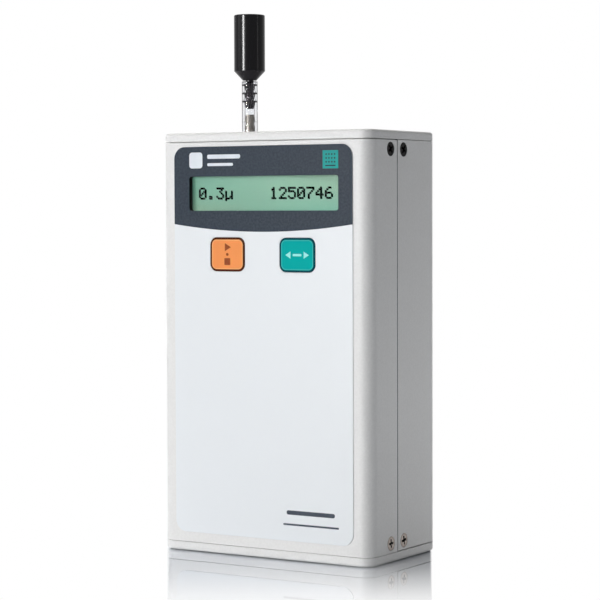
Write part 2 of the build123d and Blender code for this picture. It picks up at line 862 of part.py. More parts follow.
# The tube's bore: relaxed between the fittings, stretched over every barb.
stretched = stem_barb / 2 + thread_gap
bore = [
    (nozzle_shank / 2 + thread_gap, case_height),
    (nozzle_shank / 2 + thread_gap, neck_z),
    (nozzle_barb / 2 + thread_gap, barb_z),
    (tube_bore / 2, nozzle_top),
    (tube_bore / 2, stem_tip + stem_pitch / 3),
]
for z in barb_tops:
    bore += [(stretched, z), (tube_bore / 2 + tube_relax, z + stem_pitch / 3)]
bore[-1] = (stretched, tube_end)

with BuildPart() as inlet_tube:
    turn([*bore, (tube_bore / 2 + tube_wall, tube_end), (tube_bore / 2 + tube_wall, case_height)])
finish(inlet_tube, "inlet_tube")

# ---- Optical sensor -----------------------------------------------------------------------------

sensor_zs = (sensor_top - sensor_height, sensor_top)
beam_z = sensor_top - beam_drop
laser_seat = Plane(origin=(sensor_xs[1], sensor_y, beam_z), x_dir=(0, 1, 0), z_dir=(1, 0, 0))
trap_seat = Plane(origin=(sensor_xs[0], sensor_y, beam_z), x_dir=(0, 1, 0), z_dir=(1, 0, 0))
mirror_seat = Plane(origin=(inlet_x, sensor_ys[1], beam_z), x_dir=(1, 0, 0), z_dir=(0, -1, 0))
detector_seat = Plane(origin=(inlet_x, sensor_ys[0], beam_z), x_dir=(1, 0, 0), z_dir=(0, -1, 0))
chamber_foot = Plane((inlet_x, inlet_y, sensor_zs[0]))

with BuildPart() as sensor_block:
    block(sensor_xs, sensor_ys, sensor_zs)
    flange_xs = (sensor_xs[0], sensor_xs[1] + flange_reach)
    flange_ys = (sensor_ys[0], sensor_ys[1] + flange_reach)
    block(flange_xs, flange_ys, (sensor_top - flange_thickness, sensor_top))
    # Flow path: a wide chamber between the nozzle's seat above and the port's below.
    bar(chamber_foot, port_diameter / 2 + thread_gap, end_wall, Mode.SUBTRACT)
    bar(chamber_foot.offset(end_wall), chamber_bore / 2, sensor_height - 2 * end_wall, Mode.SUBTRACT)
    bar(chamber_foot.offset(sensor_height), nozzle_shank / 2 + thread_gap, -end_wall, Mode.SUBTRACT)
    # Beam path along X, with the laser's seat on the right and the trap's on the left.
    bar(trap_seat, beam_bore / 2, sensor_width, Mode.SUBTRACT)
    bar(trap_seat, optic_bore / 2 + thread_gap, plug_thickness, Mode.SUBTRACT)
    bar(laser_seat, laser_diameter / 2 + thread_gap, -laser_insert, Mode.SUBTRACT)
    # Collecting path along Y, from the mirror to the detector.
    bar(mirror_seat, optic_bore / 2, sensor_depth, Mode.SUBTRACT)
    bar(mirror_seat, mirror_diameter / 2 + thread_gap, mirror_thickness, Mode.SUBTRACT)
    with Locations(*[(x, y, sensor_top) for x, y in post_places]):
        Hole(screw_diameter / 2 + fit_gap, depth=flange_thickness)
finish(sensor_block, "sensor_block")

with BuildPart() as laser:
    bar(laser_seat.offset(-laser_insert), laser_diameter / 2, laser_length)
    bar(laser_seat, laser_collar / 2, collar_thickness)
finish(laser, "laser")

with BuildPart() as beam_trap:
    bar(trap_seat, optic_bore / 2, plug_thickness)
    bar(trap_seat.offset(plug_thickness), beam_bore / 2 - thread_gap, -plug_thickness / 2, Mode.SUBTRACT)
finish(beam_trap, "beam_trap")

with BuildPart() as collecting_mirror:
    bar(mirror_seat, mirror_diameter / 2, mirror_thickness)
finish(collecting_mirror, "collecting_mirror")

with BuildPart() as detector:
    with BuildSketch(detector_seat):
        Rectangle(detector_board_width, detector_board_height)
    extrude(amount=board_thickness)
    bar(detector_seat, diode_diameter / 2, -diode_length)
finish(detector, "detector")

with BuildPart() as sensor_screws:
    for x, y in post_places:
        seat = Plane((x, y, sensor_top - flange_thickness))
        bar(seat, screw_diameter / 2, sensor_screw_length)
        bar(seat, flat_head_diameter / 2, -sensor_head_height)
finish(sensor_screws, "sensor_screws")

with BuildPart() as sensor_port:
    bar(chamber_foot, port_diameter / 2, end_wall)
    bar(chamber_foot, port_collar / 2, -port_collar_height)
    bar(chamber_foot, port_diameter / 2, -port_length)
    bar(chamber_foot.offset(end_wall), port_bore / 2, -end_wall - port_length, Mode.SUBTRACT)
finish(sensor_port, "sensor_port")

# ---- Vane pump ----------------------------------------------------------------------------------

pump_xs = (pump_x - pump_size / 2, pump_x + pump_size / 2)
pump_ys = (pump_y - pump_size / 2, pump_y + pump_size / 2)
pump_top = pump_base_z + pump_height
cover_top = pump_top + pump_cover_thickness
chamber_floor = pump_top - chamber_depth
shaft_foot = Plane((pump_x, pump_y, bracket_top - bracket_sheet - motor_bore_depth))
screw_reach = pump_size / 2 - pump_screw_inset
pump_corners = [(pump_x + i * screw_reach, pump_y + j * screw_reach) for i in (-1, 1) for j in (-1, 1)]
inlet_port = Plane((pump_x - inlet_port_offset, pump_y, cover_top))
outlet_port = Plane((pump_x + outlet_port_offset, pump_y, cover_top))
tapping = small_screw_diameter / 2 + thread_gap

with BuildPart() as pump_body:
    block(pump_xs, pump_ys, (pump_base_z, pump_top))
    chamber_base = Plane((pump_x + chamber_offset, pump_y, chamber_floor))
    bar(chamber_base, chamber_diameter / 2, chamber_depth, Mode.SUBTRACT)
    bar(Plane((pump_x, pump_y, pump_base_z)), shaft_diameter / 2 + shaft_gap, pump_height, Mode.SUBTRACT)
    for x, y in pump_corners:
        bar(Plane((x, y, pump_base_z)), tapping, pump_height, Mode.SUBTRACT)
finish(pump_body, "pump_body")

with BuildPart() as pump_cover:
    block(pump_xs, pump_ys, (pump_top, cover_top))
    for port in (inlet_port, outlet_port):
        bar(port, port_diameter / 2, port_length)
        bar(port.offset(port_length), port_bore / 2, -port_length - pump_cover_thickness, Mode.SUBTRACT)
    with Locations(*[(x, y, cover_top) for x, y in pump_corners]):
        Hole(small_screw_diameter / 2 + fit_gap, depth=pump_cover_thickness)
finish(pump_cover, "pump_cover")

rotor_zs = (chamber_floor + running_gap, pump_top - running_gap)
rotor_radius = rotor_diameter / 2

with BuildPart() as pump_rotor:
    bar(Plane((pump_x, pump_y, rotor_zs[0])), rotor_radius, rotor_zs[1] - rotor_zs[0])
    with BuildSketch(Plane((pump_x, pump_y, rotor_zs[0]))):
        with PolarLocations(rotor_radius - vane_depth / 2, vane_count):
            Rectangle(vane_depth + fit_gap, vane_thickness + 2 * thread_gap)
        with PolarLocations(rotor_radius, vane_count):
            Rectangle(vane_depth, vane_thickness + 2 * thread_gap)
    extrude(amount=rotor_zs[1] - rotor_zs[0], mode=Mode.SUBTRACT)
    shaft_length = rotor_zs[0] - shaft_foot.origin.Z
    bar(shaft_foot.offset(running_gap), shaft_diameter / 2, shaft_length)
finish(pump_rotor, "pump_rotor")

with BuildPart() as pump_vanes:
    with BuildSketch(Plane((pump_x, pump_y, rotor_zs[0]))):
        with PolarLocations(rotor_radius - vane_depth / 2 - fit_gap / 2, vane_count):
            Rectangle(vane_depth, vane_thickness)
    extrude(amount=rotor_zs[1] - rotor_zs[0])
finish(pump_vanes, "pump_vanes")

with BuildPart() as pump_motor:
    motor_face = Plane((pump_x, pump_y, bracket_top - bracket_sheet))
    bar(motor_face, motor_diameter / 2, -motor_length)
    chamfer(pump_motor.edges().filter_by(GeomType.CIRCLE).sort_by(Axis.Z)[0], motor_diameter / 16)
    bar(motor_face, motor_boss_diameter / 2, bracket_sheet)
    bar(motor_face.offset(bracket_sheet), shaft_diameter / 2 + shaft_gap,
        -bracket_sheet - motor_bore_depth, Mode.SUBTRACT)
finish(pump_motor, "pump_motor")

leaf_ys = (inner_back_y - bracket_sheet, inner_back_y)
under_z = bracket_top - bracket_sheet

with BuildPart() as pump_bracket:
    block(pump_xs, (pump_ys[0], inner_back_y), (bracket_top - bracket_sheet, bracket_top))
    block(pump_xs, leaf_ys, (bracket_top - bracket_sheet - bracket_drop, bracket_top))
    bar(motor_face, motor_boss_diameter / 2 + thread_gap, bracket_sheet, Mode.SUBTRACT)
    for x, y in pump_corners:
        bar(Plane((x, y, under_z)), small_screw_diameter / 2 + fit_gap, bracket_sheet, Mode.SUBTRACT)
    for x, z in studs[2:]:
        bar(back_plane(x, z), stud_diameter / 2 + fit_gap, bracket_sheet, Mode.SUBTRACT)
finish(pump_bracket, "pump_bracket")

cover_seats = [Plane((x, y, cover_top)) for x, y in pump_corners]
under_bracket = dict(x_dir=(1, 0, 0), z_dir=(0, 0, -1))
under_seats = [Plane(origin=(x, y, under_z), **under_bracket) for x, y in pump_corners]
pan_screws(cover_seats + under_seats, pump_screw_length, "pump_screws")

# ---- Hoses and exhaust filter -------------------------------------------------------------------

hose_radius = hose_diameter / 2
hose_bore = port_diameter + 2 * thread_gap
hose_level = (sensor_zs[0] + cover_top) / 2
hose_start = (inlet_x, inlet_y, sensor_zs[0] - port_collar_height)
hose_turn_1 = (inlet_x, inlet_y, hose_level)
hose_turn_2 = (inlet_port.origin.X, inlet_port.origin.Y, hose_level)
hose_end = (inlet_port.origin.X, inlet_port.origin.Y, cover_top)

with BuildPart() as sensor_hose:
    with BuildLine() as route:
        FilletPolyline(hose_start, hose_turn_1, hose_turn_2, hose_end, radius=hose_bend)
    with BuildSketch(Plane(origin=route.line @ 0, z_dir=route.line % 0)):
        Circle(hose_radius)
        Circle(hose_bore / 2, mode=Mode.SUBTRACT)
    sweep()
finish(sensor_hose, "sensor_hose")

filter_port_low = cover_top + port_length + filter_rise
filter_low = filter_port_low + port_length
filter_foot = Plane((outlet_port.origin.X, outlet_port.origin.Y, filter_low))

with BuildPart() as exhaust_hose:
    bar(outlet_port, hose_radius, filter_low - cover_top)
    bar(outlet_port, hose_bore / 2, filter_low - cover_top, Mode.SUBTRACT)
finish(exhaust_hose, "exhaust_hose")

with BuildPart() as exhaust_filter:
    bar(filter_foot, filter_diameter / 2, filter_length)
    chamfer(exhaust_filter.edges().filter_by(GeomType.CIRCLE), filter_edge)
    bar(filter_foot, port_diameter / 2, -port_length)
    bar(filter_foot.offset(filter_length), port_diameter / 2, port_length)
    bar(filter_foot.offset(-port_length), port_bore / 2, port_length, Mode.SUBTRACT)
    bar(filter_foot.offset(filter_length), port_bore / 2, port_length, Mode.SUBTRACT)
finish(exhaust_filter, "exhaust_filter")

with BuildPart() as filter_cradle:
    cradle_x = outlet_port.origin.X
    cradle_z = filter_low + filter_length / 2
    cradle_xs = (cradle_x - cradle_width / 2, cradle_x + cradle_width / 2)
    cradle_zs = (cradle_z - cradle_height / 2, cradle_z + cradle_height / 2)
    block(cradle_xs, (pump_y + filter_diameter / 4, inner_back_y), cradle_zs)
    bar(filter_foot, filter_diameter / 2 + thread_gap, filter_length, Mode.SUBTRACT)
finish(filter_cradle, "filter_cradle")

# ---- Battery ------------------------------------------------------------------------------------

cell_start_y = pack_ys[0] + sleeve_extra / 2 + cell_diameter / 2
cell_start_z = pack_zs[0] + sleeve_extra / 2 + cell_diameter / 2
cell_places = [
    (cell_start_y + column * cell_pitch, cell_start_z + row * cell_pitch)
    for column in range(cell_columns)
    for row in range(cell_rows)
]
pack_end = Plane(origin=(pack_xs[0], 0, 0), x_dir=(0, 1, 0), z_dir=(1, 0, 0))

with BuildPart() as battery_cells:
    with BuildSketch(pack_end):
        with Locations(*cell_places):
            Circle(cell_diameter / 2)
    extrude(amount=cell_length)
finish(battery_cells, "battery_cells")

with BuildPart() as battery_sleeve:
    with BuildSketch(pack_end):
        with Locations((middle(pack_ys), middle(pack_zs))):
            outer_radius = cell_diameter / 2 + sleeve_extra / 2
            RectangleRounded(pack_depth, pack_height, outer_radius)
            inner = (pack_depth - 2 * sleeve_wall, pack_height - 2 * sleeve_wall)
            RectangleRounded(*inner, outer_radius - sleeve_wall, mode=Mode.SUBTRACT)
    extrude(amount=cell_length)
finish(battery_sleeve, "battery_sleeve")

with BuildPart() as battery_pads:
    pad_xs = (middle(pack_xs) - pad_width / 2, middle(pack_xs) + pad_width / 2)
    flat_ys = (middle(pack_ys) - cell_diameter / 2, middle(pack_ys) + cell_diameter / 2)
    block(pad_xs, flat_ys, (cap_thickness, pack_low))
    pad_zs = (middle(pack_zs) - pad_height / 2, middle(pack_zs) + pad_height / 2)
    block(pad_xs, (pack_back, inner_back_y), pad_zs)
finish(battery_pads, "battery_pads")

with BuildPart() as battery_clamp:
    clamp_x = middle(pack_xs)
    clamp_xs = (clamp_x - clamp_width / 2, clamp_x + clamp_width / 2)
    block(clamp_xs, (inner_back_y - clamp_sheet, inner_back_y), (pack_zs[1], pack_zs[1] + clamp_leaf))
    block(clamp_xs, (inner_back_y - clamp_lip, inner_back_y), (pack_zs[1], pack_zs[1] + clamp_sheet))
    for x, z in studs[:2]:
        bar(back_plane(x, z), stud_diameter / 2 + fit_gap, clamp_sheet, Mode.SUBTRACT)
finish(battery_clamp, "battery_clamp")

with BuildPart() as stud_nuts:
    sheets = [clamp_sheet, clamp_sheet, bracket_sheet, bracket_sheet]
    for (x, z), sheet in zip(studs, sheets):
        with BuildSketch(back_plane(x, z, sheet)) as hexagon:
            RegularPolygon(nut_width / 2, 6, major_radius=False)
            Circle(stud_diameter / 2 + thread_gap, mode=Mode.SUBTRACT)
        extrude(hexagon.sketch, amount=nut_height)
finish(stud_nuts, "stud_nuts")
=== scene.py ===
import math

import bmesh
import bpy
from mathutils import Matrix, Vector


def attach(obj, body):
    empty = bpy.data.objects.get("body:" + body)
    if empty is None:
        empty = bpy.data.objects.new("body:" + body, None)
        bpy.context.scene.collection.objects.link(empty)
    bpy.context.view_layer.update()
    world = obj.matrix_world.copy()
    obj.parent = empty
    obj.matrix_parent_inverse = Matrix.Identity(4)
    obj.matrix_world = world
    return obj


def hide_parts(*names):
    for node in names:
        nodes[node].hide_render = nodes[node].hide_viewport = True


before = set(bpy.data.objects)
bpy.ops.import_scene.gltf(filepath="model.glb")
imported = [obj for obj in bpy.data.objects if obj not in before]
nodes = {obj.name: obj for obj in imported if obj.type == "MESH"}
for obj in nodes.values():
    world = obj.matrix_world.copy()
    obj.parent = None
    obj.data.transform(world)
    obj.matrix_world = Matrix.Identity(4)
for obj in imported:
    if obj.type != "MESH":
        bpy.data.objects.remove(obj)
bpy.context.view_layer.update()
MM = 0.001

# ---- Studio -------------------------------------------------------------------------------------
# A white surround and a polished white floor. A tall soft box stands ahead of the instrument, wide
# ones to the left, above and behind, and the camera stands to the right of the display.

scene = bpy.context.scene
scene.view_settings.view_transform = "Standard"


def shader_of(material):
    """A material's node tree, and the tree's own shader."""
    return material.node_tree, material.node_tree.nodes["Principled BSDF"]


def node_material(name):
    """A new material with its node tree and shader."""
    material = bpy.data.materials.new(name)
    material.use_nodes = True
    return material, *shader_of(material)


def linear(red, green, blue):
    """An 8-bit screen colour as the renderer's linear colour."""
    def channel(value):
        value /= 255
        return value / 12.92 if value <= 0.04045 else ((value + 0.055) / 1.055) ** 2.4
    return (channel(red), channel(green), channel(blue), 1.0)


def add_object(name, data):
    """A new object in the scene, at the origin."""
    piece = bpy.data.objects.new(name, data)
    scene.collection.objects.link(piece)
    return piece


camera_place = Vector((0.43282, -0.69393, 0.13037))
camera_forward = Vector((-0.5283, 0.8480, -0.0428)).normalized()
camera_up = Vector((-0.0199, 0.0380, 0.9991))
camera_right = camera_forward.cross(camera_up).normalized()
camera_up = camera_right.cross(camera_forward)
camera_data = bpy.data.cameras.new("camera")
camera_data.sensor_width = 36.0
camera_data.lens = 128.84
camera_data.clip_end = 50.0
camera = add_object("camera", camera_data)
turn_to = Matrix((camera_right, camera_up, -camera_forward)).transposed().to_4x4()
camera.matrix_world = Matrix.Translation(camera_place) @ turn_to
scene.camera = camera

world = bpy.data.worlds.new("studio")
scene.world = world
world.use_nodes = True
tree = world.node_tree
background = tree.nodes["Background"]
AMBIENT = 0.08


def number_step(tree, operation, *sources):
    """One step of arithmetic on one or two sockets."""
    step = tree.nodes.new("ShaderNodeMath")
    step.operation = operation
    for source, socket in zip(sources, step.inputs):
        tree.links.new(source, socket)
    return step.outputs[0]


def seen_directly(tree, *kinds):
    """One for rays of these kinds, and nought for all others."""
    paths = tree.nodes.new("ShaderNodeLightPath")
    total = paths.outputs[kinds[0]]
    for kind in kinds[1:]:
        total = number_step(tree, "MAXIMUM", total, paths.outputs[kind])
    return total


# The surround shows as white, yet lights the instrument only a little.
strength = tree.nodes.new("ShaderNodeMapRange")
strength.inputs["To Min"].default_value = AMBIENT
strength.inputs["To Max"].default_value = 1.0
white_rays = ("Is Camera Ray", "Is Glossy Ray", "Is Transmission Ray")
tree.links.new(seen_directly(tree, *white_rays), strength.inputs["Value"])
tree.links.new(strength.outputs[0], background.inputs["Strength"])
background.inputs["Color"].default_value = (1, 1, 1, 1)


def soft_box(name, place, target, size, power):
    """A rectangular lamp at a place, turned to a target."""
    data = bpy.data.lights.new(name, "AREA")
    data.shape = "RECTANGLE"
    data.size, data.size_y = size
    data.energy = power
    lamp = add_object(name, data)
    lamp.visible_camera = False
    lamp.location = place
    lamp.rotation_euler = (Vector(target) - Vector(place)).to_track_quat("-Z", "Y").to_euler()
    return lamp


soft_box("front_box", (-0.22, -1.36, 0.22), (0, 0, 0.08), (0.26, 1.2), 10.0)
soft_box("left_box", (-0.95, -0.85, 0.6), (0, 0, 0.09), (0.6, 0.7), 3.5)
soft_box("top_box", (-0.5, 0.0, 1.2), (0, 0, 0.1), (0.8, 0.8), 6.0)
soft_box("back_box", (-0.5, 1.1, 1.3), (0, 0, 0.08), (0.8, 0.8), 7.0)
soft_box("right_box", (0.24, 0.24, 0.02), (0.05, 0, 0.03), (0.12, 0.05), 0.195)
glint_strip = soft_box("glint_strip", (-0.35, -1.34, 0.25), (0, 0, 0.19), (0.2, 1.3), 105.0)
side_strip = soft_box("side_strip", (1.4, 0.15, 0.25), (0, 0, 0.19), (0.07, 1.3), 1.6)
for strip in (glint_strip, side_strip):
    strip.visible_diffuse = False

FLOOR_HALF = 4.0
FLOOR_DROP = 0.0002  # keeps the floor just clear of the foot


def mesh_data(mesh, name, sharp_angle=None):
    """The bmesh as mesh data, smooth but for edges sharper than the angle, or flat without one."""
    data = bpy.data.meshes.new(name)
    mesh.to_mesh(data)
    mesh.free()
    if sharp_angle:
        data.shade_smooth()
        data.set_sharp_from_angle(angle=math.radians(sharp_angle))
    return data


floor_mesh = bmesh.new()
bmesh.ops.create_grid(floor_mesh, x_segments=1, y_segments=1, size=FLOOR_HALF)
floor_data = mesh_data(floor_mesh, "floor")
floor = add_object("floor", floor_data)
floor.location.z = -FLOOR_DROP
floor_material, tree, shader = node_material("polished_white")
shader.inputs["Base Color"].default_value = (0.68, 0.715, 0.77, 1)
shader.inputs["Roughness"].default_value = 0.02
POLISH = 0.64  # share of the floor's light that it mirrors
FOOT_HALF = (0.041, 0.020)  # of the foot, less the reach of its round corners
AHEAD = (0.528, -0.848, 0)  # along the floor, from the case to the onlooker
ACROSS = (0.848, 0.528, 0)
TAPER = 0.0615  # how fast the polished strip narrows ahead
AHEAD_FADE = (0.018, 0.146)
ACROSS_FADE = (0.0497, 0.0508)
AROUND_FADE = (0.0, 0.035)


def vector_step(tree, operation, source, value=(0, 0, 0), output="Vector"):
    """One step of vector arithmetic on a socket."""
    step = tree.nodes.new("ShaderNodeVectorMath")
    step.operation = operation
    step.inputs[1].default_value = value
    tree.links.new(source, step.inputs[0])
    return step.outputs[output]


def eased(tree, value, low, high):
    """Nought below low and one above high, with a soft start and end."""
    ease = tree.nodes.new("ShaderNodeMapRange")
    ease.interpolation_type = "SMOOTHSTEP"
    ease.inputs["From Min"].default_value = low
    ease.inputs["From Max"].default_value = high
    tree.links.new(value, ease.inputs["Value"])
    return ease.outputs["Result"]


def own_place(tree):
    """A point's place in the object's own metres."""
    return tree.nodes.new("ShaderNodeTexCoord").outputs["Object"]


# Only the view sees the polish, so no lamp glances off the floor on to the case.
polish = number_step(tree, "MULTIPLY", seen_directly(tree, "Is Camera Ray"))
polish.node.inputs[1].default_value = POLISH
tree.links.new(polish, shader.inputs["Metallic"])

# The polish fades into white ahead of the case, and sooner at its flanks and behind it.
spot = own_place(tree)
past_foot = vector_step(tree, "SUBTRACT", vector_step(tree, "ABSOLUTE", spot), (*FOOT_HALF, 0))
from_foot = vector_step(tree, "LENGTH", vector_step(tree, "MAXIMUM", past_foot), output="Value")
ahead = vector_step(tree, "DOT_PRODUCT", spot, AHEAD, "Value")
across = number_step(tree, "ABSOLUTE", vector_step(tree, "DOT_PRODUCT", spot, ACROSS, "Value"))
taper = vector_step(tree, "DOT_PRODUCT", spot, [TAPER * part for part in AHEAD], "Value")
flank = eased(tree, number_step(tree, "ADD", across, taper), *ACROSS_FADE)
fade = number_step(tree, "MAXIMUM", eased(tree, ahead, *AHEAD_FADE), flank)
around = number_step(tree, "MINIMUM", number_step(tree, "SUBTRACT", from_foot, ahead), from_foot)
fade = number_step(tree, "MAXIMUM", fade, eased(tree, around, *AROUND_FADE))
white = tree.nodes.new("ShaderNodeEmission")
blend = tree.nodes.new("ShaderNodeMixShader")
tree.links.new(number_step(tree, "MULTIPLY", fade, seen_directly(tree, *white_rays)), blend.inputs["Fac"])
tree.links.new(shader.outputs[0], blend.inputs[1])
tree.links.new(white.outputs[0], blend.inputs[2])
tree.links.new(blend.outputs[0], tree.nodes["Material Output"].inputs["Surface"])
floor_data.materials.append(floor_material)

# ---- Case: two shells and two end caps ----------------------------------------------------------
# Two extruded aluminium half shells and two machined end plates, all in one off-white powder
# coat with a fine grain. They meet in a vertical seam on each side and a thin line at each end.


def object_noise(tree, scale, detail=2.0, stretch=(1, 1, 1)):
    """Noise in the piece's own metres, longer along an axis whose stretch is below 1."""
    turn = tree.nodes.new("ShaderNodeMapping")
    turn.inputs["Scale"].default_value = stretch
    noise = tree.nodes.new("ShaderNodeTexNoise")
    noise.inputs["Scale"].default_value = scale
    noise.inputs["Detail"].default_value = detail
    tree.links.new(own_place(tree), turn.inputs["Vector"])
    tree.links.new(turn.outputs["Vector"], noise.inputs["Vector"])
    return noise.outputs["Fac"]


def two_tones(tree, factor, dark, light, low=0.35, high=0.65):
    """A colour that runs from dark to light as the factor goes from low to high."""
    ramp = tree.nodes.new("ShaderNodeValToRGB")
    ramp.color_ramp.elements[0].position = low
    ramp.color_ramp.elements[0].color = dark
    ramp.color_ramp.elements[1].position = high
    ramp.color_ramp.elements[1].color = light
    tree.links.new(factor, ramp.inputs["Fac"])
    return ramp.outputs["Color"]


def raise_grain(tree, shader, height, depth):
    """Bumps of this depth, in millimetres, on the shader's surface."""
    bump = tree.nodes.new("ShaderNodeBump")
    bump.inputs["Strength"].default_value = 1.0
    bump.inputs["Distance"].default_value = depth * MM
    tree.links.new(height, bump.inputs["Height"])
    tree.links.new(bump.outputs["Normal"], shader.inputs["Normal"])


def vary(tree, factor, low, high):
    """The factor, spread from low to high."""
    spread = tree.nodes.new("ShaderNodeMapRange")
    spread.inputs["From Min"].default_value = 0.3
    spread.inputs["From Max"].default_value = 0.7
    spread.inputs["To Min"].default_value = low
    spread.inputs["To Max"].default_value = high
    tree.links.new(factor, spread.inputs["Value"])
    return spread.outputs["Result"]


def grained(name, dark, light, roughness, patch, grain, depth, metallic=0.0, stretch=(1, 1, 1), gloss=0.5):
    """A finish in two near tones. Patch, grain and the grain's depth are in millimetres."""
    material, tree, shader = node_material(name)
    patches = object_noise(tree, 1 / (patch * MM), 3.0, stretch)
    tree.links.new(two_tones(tree, patches, linear(*dark), linear(*light)), shader.inputs["Base Color"])
    fine = object_noise(tree, 1 / (grain * MM), 2.0, stretch)
    tree.links.new(vary(tree, fine, roughness * 0.88, roughness * 1.12), shader.inputs["Roughness"])
    if depth:
        raise_grain(tree, shader, fine, depth)
    shader.inputs["Metallic"].default_value = metallic
    shader.inputs["Specular IOR Level"].default_value = gloss
    return material


def dress(material, *names):
    """Gives CAD nodes their finish."""
    for name in names:
        for part_slot in nodes[name].material_slots:
            part_slot.material = material


def mixed(tree, factor, low, high):
    """The low colour where the factor is nought, and the high one where it is one."""
    mix = tree.nodes.new("ShaderNodeMix")
    mix.data_type = "RGBA"
    for colour, socket in ((low, mix.inputs[6]), (high, mix.inputs[7])):
        if isinstance(colour, bpy.types.NodeSocket):
            tree.links.new(colour, socket)
        else:
            socket.default_value = colour
    tree.links.new(factor, mix.inputs["Factor"])
    return mix.outputs[2]


COAT = {
    "dark": (227, 226, 224), "light": (231, 230, 228), "roughness": 0.5, "gloss": 0.15,
    "patch": 0.9, "grain": 0.42, "depth": 0.075,
}
dress(grained("powder_coat", **COAT), "top_cap", "bottom_cap")

# The coat stops short of the joint faces, which are painted dark grey as the shade in the gap
# between the shells.
SEAM_Y = -5.4
SEAM_HALF = 0.23
SEAM_EDGE = 0.02
SEAM_SHADE_GREY = (96, 96, 96)
shell_coat_seam_shade = grained("shell_coat_seam_shade", **COAT)
tree, shader = shader_of(shell_coat_seam_shade)
from_seam = vector_step(tree, "SUBTRACT", own_place(tree), (0, SEAM_Y * MM, 0))
off_seam = vector_step(tree, "DOT_PRODUCT", vector_step(tree, "ABSOLUTE", from_seam), (0, 1, 0), "Value")
clear_of_seam_shade = eased(tree, off_seam, (SEAM_HALF - SEAM_EDGE) * MM, SEAM_HALF * MM)
coat_colour = shader.inputs["Base Color"].links[0].from_socket
tree.links.new(mixed(tree, clear_of_seam_shade, linear(*SEAM_SHADE_GREY), coat_colour), shader.inputs["Base Color"])
dress(shell_coat_seam_shade, "front_shell", "rear_shell")

# ---- Case screws --------------------------------------------------------------------------------
# Eight M3 countersunk cross-recess screws, four to a side, hold the shells to the lugs of the
# end caps. The upper four are near black and the lower four bright plated steel, and each head
# has painted shade in its recess and round its rim.

SCREW_HEAD = 2.64
SCREW_SHANK = 1.46
SCREW_LENGTH = 6.4
HEAD_LIP = (0.12, 0.09)  # rolled edge of the head, across and down
CONE_AND_TIP = 2.0
TIP_LENGTH = 0.4
RECESS_ARM = 1.75
RECESS_HALF = 0.48
RECESS_DEPTH = 1.3
# Painted shade: each head's recess, and a ring round its rim at the countersink, are coloured dark.
SHADE_DEPTH = (0.16, 0.04)  # below the face, where the dark of the recess is full and where it starts
RIM_SHADE = (0.45, 0.1)  # inside the head's edge, where the dark of its rim starts and is full
SCREW_Y = (-10.25, -0.55)
SCREW_X = 46.08
SCREW_SHARP = 32


def drive_recess(mesh):
    """The cross outline of a driver recess, in the plane z = 0."""
    outline = bmesh.ops.create_circle(mesh, segments=12, radius=RECESS_ARM)["verts"]
    half_angle = math.degrees(math.atan2(RECESS_HALF, RECESS_ARM))
    for number, vertex in enumerate(outline):
        arm, corner = divmod(number, 3)
        angle = math.radians(90 + 90 * arm + (-half_angle, half_angle, 45)[corner])
        reach = RECESS_HALF * math.sqrt(2) if corner == 2 else RECESS_ARM
        vertex.co = (reach * math.cos(angle), reach * math.sin(angle), 0)
    return outline


def edges_of(vertices):
    """The edges whose ends are both among these vertices."""
    kept = set(vertices)
    return [edge for edge in {e for v in vertices for e in v.link_edges} if set(edge.verts) <= kept]


def pull_loop(mesh, edges, depth, scale):
    """Draws a wall from a closed loop down to this depth, scaled about the axis."""
    grown = bmesh.ops.extrude_edge_only(mesh, edges=edges)["geom"]
    moved = [item for item in grown if isinstance(item, bmesh.types.BMVert)]
    bmesh.ops.scale(mesh, verts=moved, vec=(scale, scale, 1))
    bmesh.ops.translate(mesh, verts=moved, vec=(0, 0, depth))
    return edges_of(moved)


screw = bmesh.new()
lip_across, lip_down = HEAD_LIP
rim = bmesh.ops.create_circle(screw, segments=40, radius=SCREW_HEAD - lip_across)["verts"]
rim_edges = edges_of(rim)
cross_edges = edges_of(drive_recess(screw))
bmesh.ops.triangle_fill(screw, edges=rim_edges + cross_edges, use_beauty=True)
floor_edges = pull_loop(screw, cross_edges, -RECESS_DEPTH, 0.55)
bmesh.ops.edgeloop_fill(screw, edges=floor_edges)
edge_edges = pull_loop(screw, rim_edges, -lip_down, SCREW_HEAD / (SCREW_HEAD - lip_across))
cone_edges = pull_loop(screw, edge_edges, SCREW_SHANK - SCREW_HEAD, SCREW_SHANK / SCREW_HEAD)
shank_edges = pull_loop(screw, cone_edges, CONE_AND_TIP - SCREW_LENGTH, 1.0)
tip_edges = pull_loop(screw, shank_edges, -TIP_LENGTH, 0.7)
bmesh.ops.edgeloop_fill(screw, edges=tip_edges)
bmesh.ops.remove_doubles(screw, verts=screw.verts, dist=0.0001)
bmesh.ops.recalc_face_normals(screw, faces=screw.faces)
screw_data = mesh_data(screw, "screw", SCREW_SHARP)


def screw_set(name, height, turns, material):
    """Four screws at one height, two on each side."""
    whole = bmesh.new()
    places = [(side, y) for side in (-1, 1) for y in SCREW_Y]
    for (side, y), turn in zip(places, turns):
        copy = screw_data.copy()
        stand = Matrix.Rotation(side * math.pi / 2, 4, "Y") @ Matrix.Rotation(math.radians(turn), 4, "Z")
        copy.transform(Matrix.Scale(MM, 4) @ Matrix.Translation((side * SCREW_X, y, height)) @ stand)
        whole.from_mesh(copy)
    data = mesh_data(whole, name, SCREW_SHARP)
    data.materials.append(material)
    piece = add_object(name, data)
    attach(piece, "case")
    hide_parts("shell_screws")


